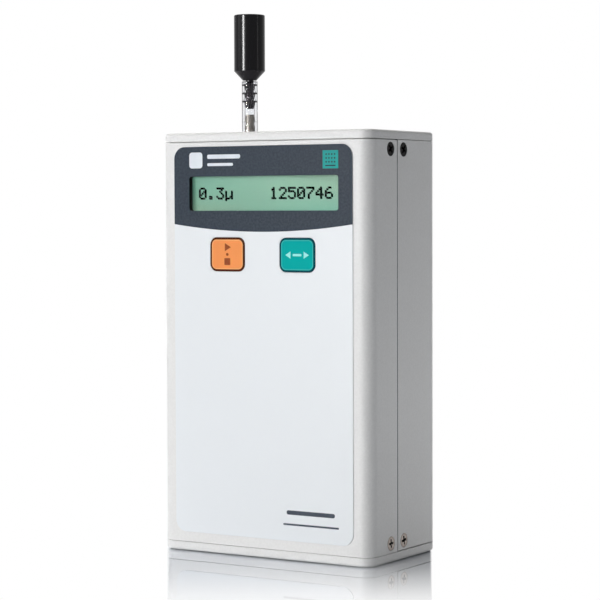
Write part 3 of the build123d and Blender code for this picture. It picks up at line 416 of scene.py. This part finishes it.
def shadowed_screw(material, height, surface_tint, rim_shade_tint, recess_shade_tint):
    """Paints shade on a screw's head: a dark ring at its rim, where it meets the countersink, and a dark
    recess.
    """
    tree, shader = shader_of(material)
    spot = own_place(tree)
    inward = vector_step(tree, "LENGTH", vector_step(tree, "MULTIPLY", spot, (1, 0, 0)), output="Value")
    face = eased(tree, inward, *((SCREW_X - depth) * MM for depth in SHADE_DEPTH))
    from_seam = vector_step(tree, "SUBTRACT", spot, (0, sum(SCREW_Y) / 2 * MM, height * MM))
    half_spread = (SCREW_Y[1] - SCREW_Y[0]) / 2 * MM
    from_axis = vector_step(tree, "SUBTRACT", vector_step(tree, "ABSOLUTE", from_seam), (0, half_spread, 0))
    out = vector_step(tree, "LENGTH", vector_step(tree, "MULTIPLY", from_axis, (0, 1, 1)), output="Value")
    rim_band = [(SCREW_HEAD - inside) * MM for inside in RIM_SHADE]
    head = two_tones(tree, out, linear(*surface_tint), linear(*rim_shade_tint), *rim_band)
    tree.links.new(mixed(tree, face, linear(*recess_shade_tint), head), shader.inputs["Base Color"])


LOWER_Z = 7.0
UPPER_Z = 151.8
bright = grained(
    "bright_screw_shaded", (150, 143, 136), (160, 153, 146), 0.4, 0.8, 0.12, 0.01, metallic=0.35, gloss=0.3
)
shadowed_screw(bright, LOWER_Z, (166, 159, 151), (92, 70, 60), (7, 4, 3))
black = grained("black_screw_shaded", (22, 21, 22), (34, 33, 34), 0.42, 0.8, 0.12, 0.01, metallic=0.1, gloss=0.18)
shadowed_screw(black, UPPER_Z, (30, 27, 27), (12, 10, 10), (3, 2, 3))
tree, shader = shader_of(black)
shader.inputs["IOR"].default_value = 1.2
screw_set("lower_screws", LOWER_Z, (12, 8, 4, 10), bright)
screw_set("upper_screws", UPPER_Z, (30, 65, 35, 58), black)

# ---- Front overlay ------------------------------------------------------------------------------
# A satin polyester film glued in a shallow pocket of the front shell. A slate band is printed
# round the display, its lower edge bowed, and plain fields stand for the print on it.

FILM_Y = -25.65
FILM_X = -0.3
FILM_HALF = 39.25
FILM_TOP = 153.5
FILM_CORNER = (4.5, 10)  # radius and steps
BAND_SIDE = 124.4
BAND_MIDDLE = 121.6
WINDOW_X = (-32.65, 32.95)
WINDOW_Z = (129.45, 142.35)
WINDOW_CORNER = (1.0, 4)
PRINT_DEPTH = 0.03
PRINT_ROOT = 0.05  # how far a print reaches into what carries it
INKED_EDGE = 0.04  # past the window, whose cut edge is inked black
INKED_FADE = 0.01


def round_corners(mesh, corners, radius, steps):
    """Turns these corners of a flat face into arcs."""
    arcs = {"profile": 0.5, "affect": "VERTICES", "material": -1}
    bmesh.ops.bevel(mesh, geom=corners, offset=radius, segments=steps, **arcs)


def rounded_outline(mesh, xs, zs, radius, steps=8):
    """A flat face with round corners between these limits. Its x and y are the object's X and Z."""
    size = Matrix.Diagonal((xs[1] - xs[0], zs[1] - zs[0], 1, 1))
    middle = Matrix.Translation(((xs[0] + xs[1]) / 2, (zs[0] + zs[1]) / 2, 0))
    corners = bmesh.ops.create_grid(mesh, x_segments=1, y_segments=1, size=0.5, matrix=middle @ size)["verts"]
    if radius:
        round_corners(mesh, corners, radius, steps)


def printed(name, mesh, face_y, material, body, thickness=PRINT_DEPTH):
    """Flat faces drawn in x and y, given a thickness and set upright on a face of the front."""
    flat = list(mesh.faces)
    raised = bmesh.ops.extrude_face_region(mesh, geom=flat)["geom"]
    lifted = [item for item in raised if isinstance(item, bmesh.types.BMVert)]
    bmesh.ops.translate(mesh, verts=lifted, vec=(0, 0, thickness + PRINT_ROOT))
    upright = Matrix.Translation((0, face_y + PRINT_ROOT, 0)) @ Matrix.Rotation(math.pi / 2, 4, "X")
    bmesh.ops.transform(mesh, matrix=Matrix.Scale(MM, 4) @ upright, verts=mesh.verts)
    bmesh.ops.recalc_face_normals(mesh, faces=mesh.faces)
    data = mesh_data(mesh, name)
    data.materials.append(material)
    piece = add_object(name, data)
    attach(piece, body)


def out_of_panel(tree, middle, half):
    """How far a point of the front is out of a panel of this middle and half size, x then z."""
    any_depth = 1.0
    place = vector_step(tree, "SUBTRACT", own_place(tree), (middle[0] * MM, 0, middle[1] * MM))
    from_middle = vector_step(tree, "ABSOLUTE", place)
    past_edge = vector_step(tree, "SUBTRACT", from_middle, (half[0] * MM, any_depth, half[1] * MM))
    return vector_step(tree, "LENGTH", vector_step(tree, "MAXIMUM", past_edge), output="Value")


film = grained("satin_film", (231, 235, 238), (233, 237, 240), 0.36, 3.0, 0.3, 0.006, gloss=0.18)
tree, shader = shader_of(film)
window_middle = [(low + high) / 2 for low, high in (WINDOW_X, WINDOW_Z)]
inked_half = [(high - low) / 2 + INKED_EDGE for low, high in (WINDOW_X, WINDOW_Z)]
plain_film = eased(tree, out_of_panel(tree, window_middle, inked_half), 0.0, INKED_FADE * MM)
film_colour = mixed(tree, plain_film, linear(6, 6, 8), linear(230, 233, 235))
tree.links.new(film_colour, shader.inputs["Base Color"])
dress(film, "overlay")

BOW_CUTS = 39
band = bmesh.new()
rounded_outline(band, (FILM_X - FILM_HALF, FILM_X + FILM_HALF), (BAND_SIDE, FILM_TOP), 0)
round_corners(band, [vertex for vertex in band.verts if vertex.co.y > BAND_SIDE + 1], *FILM_CORNER)
lower_edge = [edge for edge in band.edges if all(abs(v.co.y - BAND_SIDE) < 0.01 for v in edge.verts)]
bmesh.ops.subdivide_edges(band, edges=lower_edge, cuts=BOW_CUTS)
for vertex in band.verts:
    if abs(vertex.co.y - BAND_SIDE) < 0.01:
        share = (vertex.co.x - FILM_X) / FILM_HALF
        vertex.co.y = BAND_MIDDLE + (BAND_SIDE - BAND_MIDDLE) * share ** 2
bmesh.ops.delete(band, geom=list(band.faces), context="FACES_ONLY")
rounded_outline(band, WINDOW_X, WINDOW_Z, *WINDOW_CORNER)
bmesh.ops.delete(band, geom=list(band.faces), context="FACES_ONLY")
bmesh.ops.triangle_fill(band, edges=list(band.edges), use_beauty=True)


def print_ink(name, dark, light, patch=4.0, gloss=0.05):
    """A screen-printed ink in two near tones."""
    return grained(name, dark, light, 0.42, patch, 0.3, 0.006, gloss=gloss)


slate = print_ink("slate_print", (47, 56, 67), (55, 64, 75), patch=0.8, gloss=0.04)
printed("display_band", band, FILM_Y, slate, "case")


def plain_fields(*fields):
    """Flat round-cornered fields, each given by its limits in x and z, its radius and its steps."""
    mesh = bmesh.new()
    for field in fields:
        rounded_outline(mesh, *field)
    return mesh


BAND_FACE = FILM_Y - PRINT_DEPTH
MARK_PLACE = ((-32.6, -26.6), (145.4, 151.4), 1.2)
NAME_PLACE = ((-24.4, -9.6), (148.9, 150.5), 0.6)
LINE_PLACE = ((-24.4, -12.8), (146.2, 147.3), 0.5)
pale = print_ink("pale_print", (218, 224, 230), (226, 231, 236), gloss=0.1)
maker_fields = plain_fields(MARK_PLACE, NAME_PLACE, LINE_PLACE)
printed("maker_fields", maker_fields, BAND_FACE, pale, "case")

ICON_PLACE = ((26.4, 33.0), (144.7, 151.3), 0.15, 2)
teal_print = print_ink("teal_print", (4, 152, 146), (10, 160, 154))
printed("air_icon", plain_fields(ICON_PLACE), BAND_FACE, teal_print, "case")

ICON_BAR = ((27.5, 31.9), (145.5, 146.0), 0.2, 2)
FIRST_DROP = (27.9, 147.1)
DROP_PITCH = (1.2, 1.4)
DROP_COUNT = (4, 3)
DROP_RADIUS = 0.34
ink = print_ink("dark_teal_ink", (8, 62, 68), (12, 72, 78), patch=2.0)
drops = bmesh.new()
for column in range(DROP_COUNT[0]):
    for row in range(DROP_COUNT[1]):
        spot = (FIRST_DROP[0] + DROP_PITCH[0] * column, FIRST_DROP[1] + DROP_PITCH[1] * row, 0)
        place = Matrix.Translation(spot)
        bmesh.ops.create_circle(drops, cap_ends=True, segments=12, radius=DROP_RADIUS, matrix=place)
rounded_outline(drops, *ICON_BAR)
printed("air_icon_marks", drops, BAND_FACE - PRINT_DEPTH, ink, "case")

TYPE_PLACE = ((10.4, 31.2), (17.1, 18.7), 0.7)
NOTE_PLACE = ((8.9, 32.9), (13.1, 13.8), 0.3)
slate_mark = print_ink("slate_ink", (56, 64, 76), (66, 74, 86), gloss=0.08)
printed("type_fields", plain_fields(TYPE_PLACE, NOTE_PLACE), FILM_Y, slate_mark, "case")

# ---- Keys ---------------------------------------------------------------------------------------
# Two embossed membrane keys, each with a dark printed rim, a painted highlight inside it where the
# pad is embossed, and plain marks: go, dot and stop on the orange one, and two arrows on the teal
# one. Each presses a plunger behind the front wall.

KEY_Y = -25.85
KEY_Z = 113.1
START_X = -15.4
SELECT_X = 15.4
KEY_HALF = (7.7, 6.35)
KEY_RADIUS = 2.8
KEY_RIM = 0.78
# Where the painted highlight starts, is full and ends, and where the rim is full: past the rim's
# inner edge, as shares of the corner radius.
KEY_STEPS = (-0.2, -0.07, -0.02, 0.02)


def along(tree, value, low, high):
    """How far a length has gone from low to high, both in millimetres."""
    share = tree.nodes.new("ShaderNodeMapRange")
    share.inputs["From Min"].default_value = low * MM
    share.inputs["From Max"].default_value = high * MM
    tree.links.new(value, share.inputs["Value"])
    return share.outputs["Result"]


def key_print_and_highlight(name, node, middle_x, rim, painted_highlight, centre):
    """A key's dark printed rim, a narrow painted highlight inside it, and its coloured middle."""
    material = grained(name, centre, centre, 0.38, 6.0, 0.3, 0.006, gloss=0.01)
    tree, shader = shader_of(material)
    straight_half = [half - KEY_RADIUS for half in KEY_HALF]
    out = out_of_panel(tree, (middle_x, KEY_Z), straight_half)
    inside = 1 - KEY_RIM / KEY_RADIUS
    middle_end, highlight_start, highlight_end, rim_start = (inside + step for step in KEY_STEPS)
    reached = along(tree, out, 0, KEY_RADIUS)
    rings = two_tones(tree, reached, linear(*centre), linear(*rim), middle_end, rim_start)
    for position in (highlight_start, highlight_end):
        rings.node.color_ramp.elements.new(position).color = linear(*painted_highlight)
    tree.links.new(rings, shader.inputs["Base Color"])
    dress(material, node)


key_print_and_highlight("orange_key_highlighted", "start_stop_key", START_X, (78, 38, 22), (255, 178, 118), (250, 157, 92))
key_print_and_highlight("teal_key_highlighted", "select_key", SELECT_X, (10, 72, 82), (60, 186, 180), (0, 172, 166))


def triangle(mesh, x, z, reach, turn):
    """A flat three-cornered mark that points this many degrees from straight up."""
    place = Matrix.Translation((x, z, 0)) @ Matrix.Rotation(math.radians(turn), 4, "Z")
    bmesh.ops.create_circle(mesh, cap_ends=True, segments=3, radius=reach, matrix=place)


GO_REACH = 1.75
GO_SHIFT = -0.2
DOT_REACH = 0.55
STOP_HALF = 1.3
MARK_RISE = 2.7  # of the go mark over the key's middle, and of the stop mark below it
MARK_CORNER = (0.2, 2)
brown_ink = print_ink("brown_ink", (142, 62, 16), (154, 72, 24), patch=2.0)
start_marks = bmesh.new()
triangle(start_marks, START_X + GO_SHIFT, KEY_Z + MARK_RISE, GO_REACH, -90)
dot = Matrix.Translation((START_X, KEY_Z, 0))
bmesh.ops.create_circle(start_marks, cap_ends=True, segments=16, radius=DOT_REACH, matrix=dot)
stop_limits = [(middle - STOP_HALF, middle + STOP_HALF) for middle in (START_X, KEY_Z - MARK_RISE)]
rounded_outline(start_marks, *stop_limits, *MARK_CORNER)
printed("start_stop_marks", start_marks, KEY_Y, brown_ink, "start_stop_key")

ARROW_OUT = 3.6
ARROW_REACH = 1.5
BAR_HALF = (1.9, 0.42)
cyan_ink = print_ink("cyan_ink", (146, 232, 226), (158, 240, 234), patch=2.0)
select_marks = bmesh.new()
for side in (-1, 1):
    triangle(select_marks, SELECT_X + side * ARROW_OUT, KEY_Z, ARROW_REACH, -90 * side)
bar_limits = [(middle - half, middle + half) for middle, half in zip((SELECT_X, KEY_Z), BAR_HALF)]
rounded_outline(select_marks, *bar_limits, *MARK_CORNER)
printed("select_marks", select_marks, KEY_Y, cyan_ink, "select_key")

dark_plastic = grained("dark_plastic", (38, 38, 40), (46, 46, 49), 0.5, 3.0, 0.25, 0.02)
dress(dark_plastic, "start_stop_plunger", "select_plunger", "key_switches")

# ---- Display ------------------------------------------------------------------------------------
# A character display behind a clear acrylic lens, with a black surround that closes the gap
# between wall and glass. The glass is lit green from behind and its dots are near black.

surround = grained("black_surround", (14, 14, 16), (20, 20, 23), 0.6, 3.0, 0.25, 0.02)
dress(surround, "window_surround")

DIM_GLINT = (0.15, 0.15, 0.15, 1)
lens, tree, shader = node_material("clear_acrylic")
shader.inputs["Base Color"].default_value = (1, 1, 1, 1)
shader.inputs["Transmission Weight"].default_value = 1.0
shader.inputs["IOR"].default_value = 1.3
shader.inputs["Specular Tint"].default_value = DIM_GLINT
haze = object_noise(tree, 1 / (6.0 * MM))
tree.links.new(vary(tree, haze, 0.01, 0.03), shader.inputs["Roughness"])
dress(lens, "window_lens")

bezel = grained("blackened_steel", (28, 28, 30), (38, 38, 41), 0.42, 5.0, 0.3, 0.01, metallic=0.5)
dress(bezel, "display_bezel")


def own_axes(tree):
    """A point's X, Y and Z in the object's own metres."""
    parts = tree.nodes.new("ShaderNodeSeparateXYZ")
    tree.links.new(own_place(tree), parts.inputs["Vector"])
    return parts.outputs


LIT_X = (-34, 33)  # the green changes its tint between these
LIT_Z = (129, 137)
GLOW = 0.2
glass, tree, shader = node_material("display_green")
axes = own_axes(tree)
sideways = along(tree, axes["X"], *LIT_X)
upper_green = mixed(tree, sideways, linear(126, 182, 160), linear(160, 202, 177))
lower_green = mixed(tree, sideways, linear(138, 174, 150), linear(126, 194, 172))
green = mixed(tree, along(tree, axes["Z"], *LIT_Z), lower_green, upper_green)
deeper = tree.nodes.new("ShaderNodeHueSaturation")
deeper.inputs["Value"].default_value = 0.25
deeper.inputs["Saturation"].default_value = 1.25
tree.links.new(green, deeper.inputs["Color"])
tree.links.new(deeper.outputs["Color"], shader.inputs["Base Color"])
tree.links.new(green, shader.inputs["Emission Color"])
shader.inputs["Emission Strength"].default_value = GLOW
shader.inputs["Roughness"].default_value = 0.3
dress(glass, "display_glass")

backlight = grained("diffuser_white", (214, 232, 214), (224, 240, 222), 0.5, 4.0, 0.3, 0.01)
dress(backlight, "display_backlight")

CELL_PITCH = 3.98
DOT_PITCH = (0.66, 0.63)
DOT_SIZE = (0.7, 0.66)
DIGITS_X = -29.64
DIGITS_Z = 134.1
GLASS_Y = -22.9
READING = ((0, "0.3u"), (8, "1250746"))  # each with its first cell

# Each character is drawn as strokes between dots, on five columns and seven rows.
characters = {
    "0": (((1, 6), (3, 6)), ((4, 5), (4, 1)), ((3, 0), (1, 0)), ((0, 1), (0, 5)), ((1, 2), (3, 4))),
    "1": (((2, 6), (2, 0)), ((1, 5), (1, 5)), ((1, 0), (3, 0))),
    "2": (((0, 5), (1, 6)), ((1, 6), (3, 6)), ((4, 5), (4, 4)), ((3, 3), (0, 0)), ((0, 0), (4, 0))),
    "3": (((0, 6), (4, 6)), ((3, 5), (2, 4)), ((3, 3), (4, 2)),
          ((4, 2), (4, 1)), ((3, 0), (1, 0)), ((0, 1), (0, 1))),
    "4": (((3, 6), (3, 0)), ((2, 5), (0, 3)), ((0, 2), (4, 2))),
    "5": (((4, 6), (0, 6)), ((0, 6), (0, 4)), ((0, 4), (3, 4)),
          ((4, 3), (4, 1)), ((3, 0), (1, 0)), ((0, 1), (0, 1))),
    "6": (((3, 6), (2, 6)), ((1, 5), (0, 4)), ((0, 4), (0, 1)),
          ((1, 3), (3, 3)), ((4, 2), (4, 1)), ((1, 0), (3, 0))),
    "7": (((0, 6), (4, 6)), ((4, 5), (1, 2)), ((1, 2), (1, 0))),
    ".": (((1, 1), (2, 1)), ((1, 0), (2, 0))),
    "u": (((0, 4), (0, -1)), ((1, 0), (2, 0)), ((3, 1), (3, 1)), ((4, 4), (4, 0))),
}


def stroke_dots(start, end):
    """The dots from start to end along a row, a column or a diagonal."""
    run, rise = end[0] - start[0], end[1] - start[1]
    count = max(abs(run), abs(rise), 1)
    return {(start[0] + run * n // count, start[1] + rise * n // count) for n in range(count + 1)}


def dot_sheet(shift_x, shift_z):
    """All the dots of the reading, shifted by this much."""
    mesh = bmesh.new()
    half_x, half_z = DOT_SIZE[0] / 2, DOT_SIZE[1] / 2
    for first_cell, text in READING:
        for cell, character in enumerate(text, start=first_cell):
            lit = set().union(*(stroke_dots(*stroke) for stroke in characters[character]))
            for column, row in sorted(lit):
                x = DIGITS_X + cell * CELL_PITCH + column * DOT_PITCH[0] + shift_x
                z = DIGITS_Z + row * DOT_PITCH[1] + shift_z
                rounded_outline(mesh, (x - half_x, x + half_x), (z - half_z, z + half_z), 0)
    return mesh


# Behind each dot, down to its right, stands its soft shadow on the lit layer.
SHADOW_SHIFT = (0.26, -0.16)
SHADOW_DEPTH = 0.01
DOT_DEPTH = 0.02
dot_shadow = grained("dot_shadow", (10, 26, 20), (14, 30, 24), 0.4, 4.0, 0.3, 0.004, gloss=0.0)
shadows = dot_sheet(*SHADOW_SHIFT)
printed("display_dot_shadows", shadows, GLASS_Y, dot_shadow, "case", SHADOW_DEPTH)
dot_ink = grained("display_dots", (2, 6, 5), (4, 9, 8), 0.4, 4.0, 0.3, 0.004, gloss=0.0)
dots = dot_sheet(0.0, 0.0)
printed("display_dots", dots, GLASS_Y - SHADOW_DEPTH, dot_ink, "case", DOT_DEPTH)

# ---- Boards -------------------------------------------------------------------------------------
# Green boards with solder mask: one behind the display, one under the keys, and the main board
# in slots of the front shell, with its black chips and header.

mask = grained("solder_mask", (14, 74, 38), (22, 92, 48), 0.3, 2.5, 0.5, 0.02)
dress(mask, "display_board", "keypad_board", "main_board")
dress(dark_plastic, "board_parts")
plated = grained("plated_steel", (176, 176, 178), (200, 200, 202), 0.3, 1.2, 0.15, 0.008, metallic=1.0)
dress(plated, "board_screws")

# ---- Controls on the left side ------------------------------------------------------------------
# A slide switch, a charger jack and a flow trimmer, all on the edge of the main board and
# reached through the left wall. The switch's knob is moulded in black, the trimmer in blue.

dress(dark_plastic, "power_switch", "charger_jack")
knob = grained("knob_black", (24, 24, 26), (32, 32, 35), 0.42, 1.5, 0.2, 0.03)
dress(knob, "power_knob")
blue = grained("trimmer_blue", (30, 82, 160), (40, 96, 178), 0.34, 1.5, 0.25, 0.01)
dress(blue, "flow_trimmer")
rotor_white = grained("rotor_white", (222, 218, 206), (232, 229, 218), 0.42, 1.0, 0.2, 0.01)
dress(rotor_white, "trimmer_rotor")

# ---- Sampling line ------------------------------------------------------------------------------
# A dull nickel-plated brass nozzle stands in the top cap, and a clear vinyl tube joins it to the
# barbed stem of the polished black sampling probe. Painted shade darkens the tube's edges and cut
# end, and a painted reflection greys the probe's cone and stem.

nozzle_finish = grained(
    "dull_nickel", (92, 87, 82), (128, 122, 115), 0.42, 0.9, 0.2, 0.01, metallic=0.6, gloss=0.3
)
dress(nozzle_finish, "inlet_nozzle")

INLET = (-22.0, 0.0)
TUBE_OUTER = 3.04
TUBE_FOOT = 158.82
TUBE_END = 179.0
TUBE_SIDES = 72
TUBE_SHARP = 40
END_SHADE = (0.4, 0.25)  # below the tube's cut end, where the dark of its wall starts and is full
CONE_TOP = 183.0
CONE_EDGE = 0.05
STEM_BARBS = (171.65, 174.8, 177.95)
# Radius and height of the bore, from its foot up: it stands close round the nozzle and swells over
# each barb of the stem.
TUBE_BORE = [(2.06, TUBE_FOOT), (2.06, 162.1), (2.08, 163.5), (2.0, 166.3), (2.0, 169.6)]
for barb in STEM_BARBS:
    TUBE_BORE += [(2.15, barb - 1.1), (2.21, barb - 0.6), (2.38, barb), (2.15, barb + 1.0)]
TUBE_BORE[-1] = (2.42, TUBE_END)

vinyl, tree, shader = node_material("clear_vinyl_edge_shade")
shader.inputs["Transmission Weight"].default_value = 1.0
shader.inputs["IOR"].default_value = 1.48
shader.inputs["Specular Tint"].default_value = DIM_GLINT
# Painted shade: the vinyl darkens where its surface turns away from the view, as at the dark rim of a clear
# tube, and again just below its cut end.
slant = tree.nodes.new("ShaderNodeLayerWeight")
slant.inputs["Blend"].default_value = 0.35
tint = two_tones(tree, slant.outputs["Facing"], linear(240, 241, 243), linear(14, 15, 17), 0.3, 0.52)
at_end = eased(tree, own_axes(tree)["Z"], *((TUBE_END - below) * MM for below in END_SHADE))
tree.links.new(mixed(tree, at_end, tint, linear(52, 53, 57)), shader.inputs["Base Color"])
ripple = object_noise(tree, 1 / (1.6 * MM), 2.0, (1, 1, 0.4))
tree.links.new(vary(tree, ripple, 0.01, 0.04), shader.inputs["Roughness"])
raise_grain(tree, shader, ripple, 0.03)


def turned(name, outline):
    """A closed body turned about the inlet's axis, from its outline of (radius, height) points."""
    mesh = bmesh.new()
    ring = [mesh.verts.new((radius, 0, height)) for radius, height in outline]
    loop = [mesh.edges.new((ring[n - 1], ring[n])) for n in range(len(ring))]
    turn = {"cent": (0, 0, 0), "axis": (0, 0, 1), "angle": math.tau, "steps": TUBE_SIDES, "use_merge": True}
    bmesh.ops.spin(mesh, geom=list(mesh.verts) + loop, **turn)
    bmesh.ops.recalc_face_normals(mesh, faces=mesh.faces)
    place = Matrix.Scale(MM, 4) @ Matrix.Translation((*INLET, 0))
    bmesh.ops.transform(mesh, matrix=place, verts=mesh.verts)
    return mesh_data(mesh, name, TUBE_SHARP)


tube_data = turned("vinyl_tube", [*TUBE_BORE, (TUBE_OUTER, TUBE_END), (TUBE_OUTER, TUBE_FOOT)])
tube_data.materials.append(vinyl)
tube = add_object("vinyl_tube", tube_data)
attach(tube, "case")
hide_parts("inlet_tube")

probe_black = grained("polished_black_painted_reflection", (11, 10, 14), (14, 13, 18), 0.17, 5.0, 6.0, 0, gloss=0.11)
tree, shader = shader_of(probe_black)
# Below the top of its cone the probe is painted grey: a painted reflection of the white case top and floor
# beneath it.
above_cone = eased(tree, own_axes(tree)["Z"], *((CONE_TOP + step) * MM for step in (-CONE_EDGE, CONE_EDGE)))
probe_black_and_reflection = mixed(tree, above_cone, linear(42, 40, 43), linear(12, 11, 15))
tree.links.new(probe_black_and_reflection, shader.inputs["Base Color"])
dress(probe_black, "sampling_probe")

# ---- Optical sensor -----------------------------------------------------------------------------
# A black anodised block with the laser, beam trap, mirror and detector round its flow chamber.

anodised = grained("black_anodised", (34, 34, 37), (44, 44, 48), 0.4, 3.0, 0.2, 0.01, metallic=0.5)
dress(anodised, "sensor_block", "beam_trap")
turned_brass = grained("turned_brass", (176, 140, 74), (196, 160, 92), 0.3, 1.0, 0.2, 0.01, metallic=1.0)
dress(turned_brass, "laser", "sensor_port")
mirror = grained("mirror_coat", (226, 226, 228), (236, 236, 238), 0.06, 4.0, 0.6, 0.001, metallic=1.0)
dress(mirror, "collecting_mirror")
dress(mask, "detector")
dress(plated, "sensor_screws")

# ---- Vane pump ----------------------------------------------------------------------------------
# A machined pump body on its motor, carried by a bent bracket from the rear shell. Four carbon
# vanes sit in the slots of its rotor.

LONG_GRAIN = (1, 1, 0.15)
RING_GRAIN = (1, 1, 6)
machined = grained(
    "machined_alloy", (178, 180, 182), (198, 200, 202), 0.32, 2.0, 0.2, 0.012, 1.0, stretch=LONG_GRAIN
)
dress(machined, "pump_body", "pump_cover", "pump_rotor", "pump_bracket")
carbon = grained("vane_carbon", (30, 30, 31), (42, 42, 43), 0.55, 1.0, 0.15, 0.01)
dress(carbon, "pump_vanes")
can = grained("motor_can", (168, 168, 170), (188, 188, 190), 0.34, 3.0, 0.25, 0.008, 1.0, stretch=RING_GRAIN)
dress(can, "pump_motor")
dress(plated, "pump_screws", "stud_nuts")

# ---- Hoses and exhaust filter -------------------------------------------------------------------
# Silicone hoses lead from sensor to pump and from pump to the welded filter in its cradle.

silicone = grained("silicone_hose", (196, 190, 178), (210, 204, 192), 0.5, 4.0, 0.3, 0.02)
dress(silicone, "sensor_hose", "exhaust_hose")
filter_shell = grained("filter_shell", (220, 226, 230), (232, 237, 240), 0.34, 3.0, 0.3, 0.01)
dress(filter_shell, "exhaust_filter")
dress(dark_plastic, "filter_cradle")

# ---- Battery ------------------------------------------------------------------------------------
# Six cells in a blue shrink sleeve, held against foam pads by a spring steel clamp.

cells = grained("cell_cans", (158, 160, 164), (180, 182, 186), 0.34, 3.0, 0.25, 0.008, metallic=1.0)
dress(cells, "battery_cells")
sleeve = grained("shrink_sleeve", (24, 62, 128), (34, 78, 148), 0.28, 8.0, 1.2, 0.04)
dress(sleeve, "battery_sleeve")
foam = grained("closed_foam", (50, 50, 52), (64, 64, 66), 0.85, 1.2, 0.35, 0.12)
dress(foam, "battery_pads")
dress(plated, "battery_clamp")
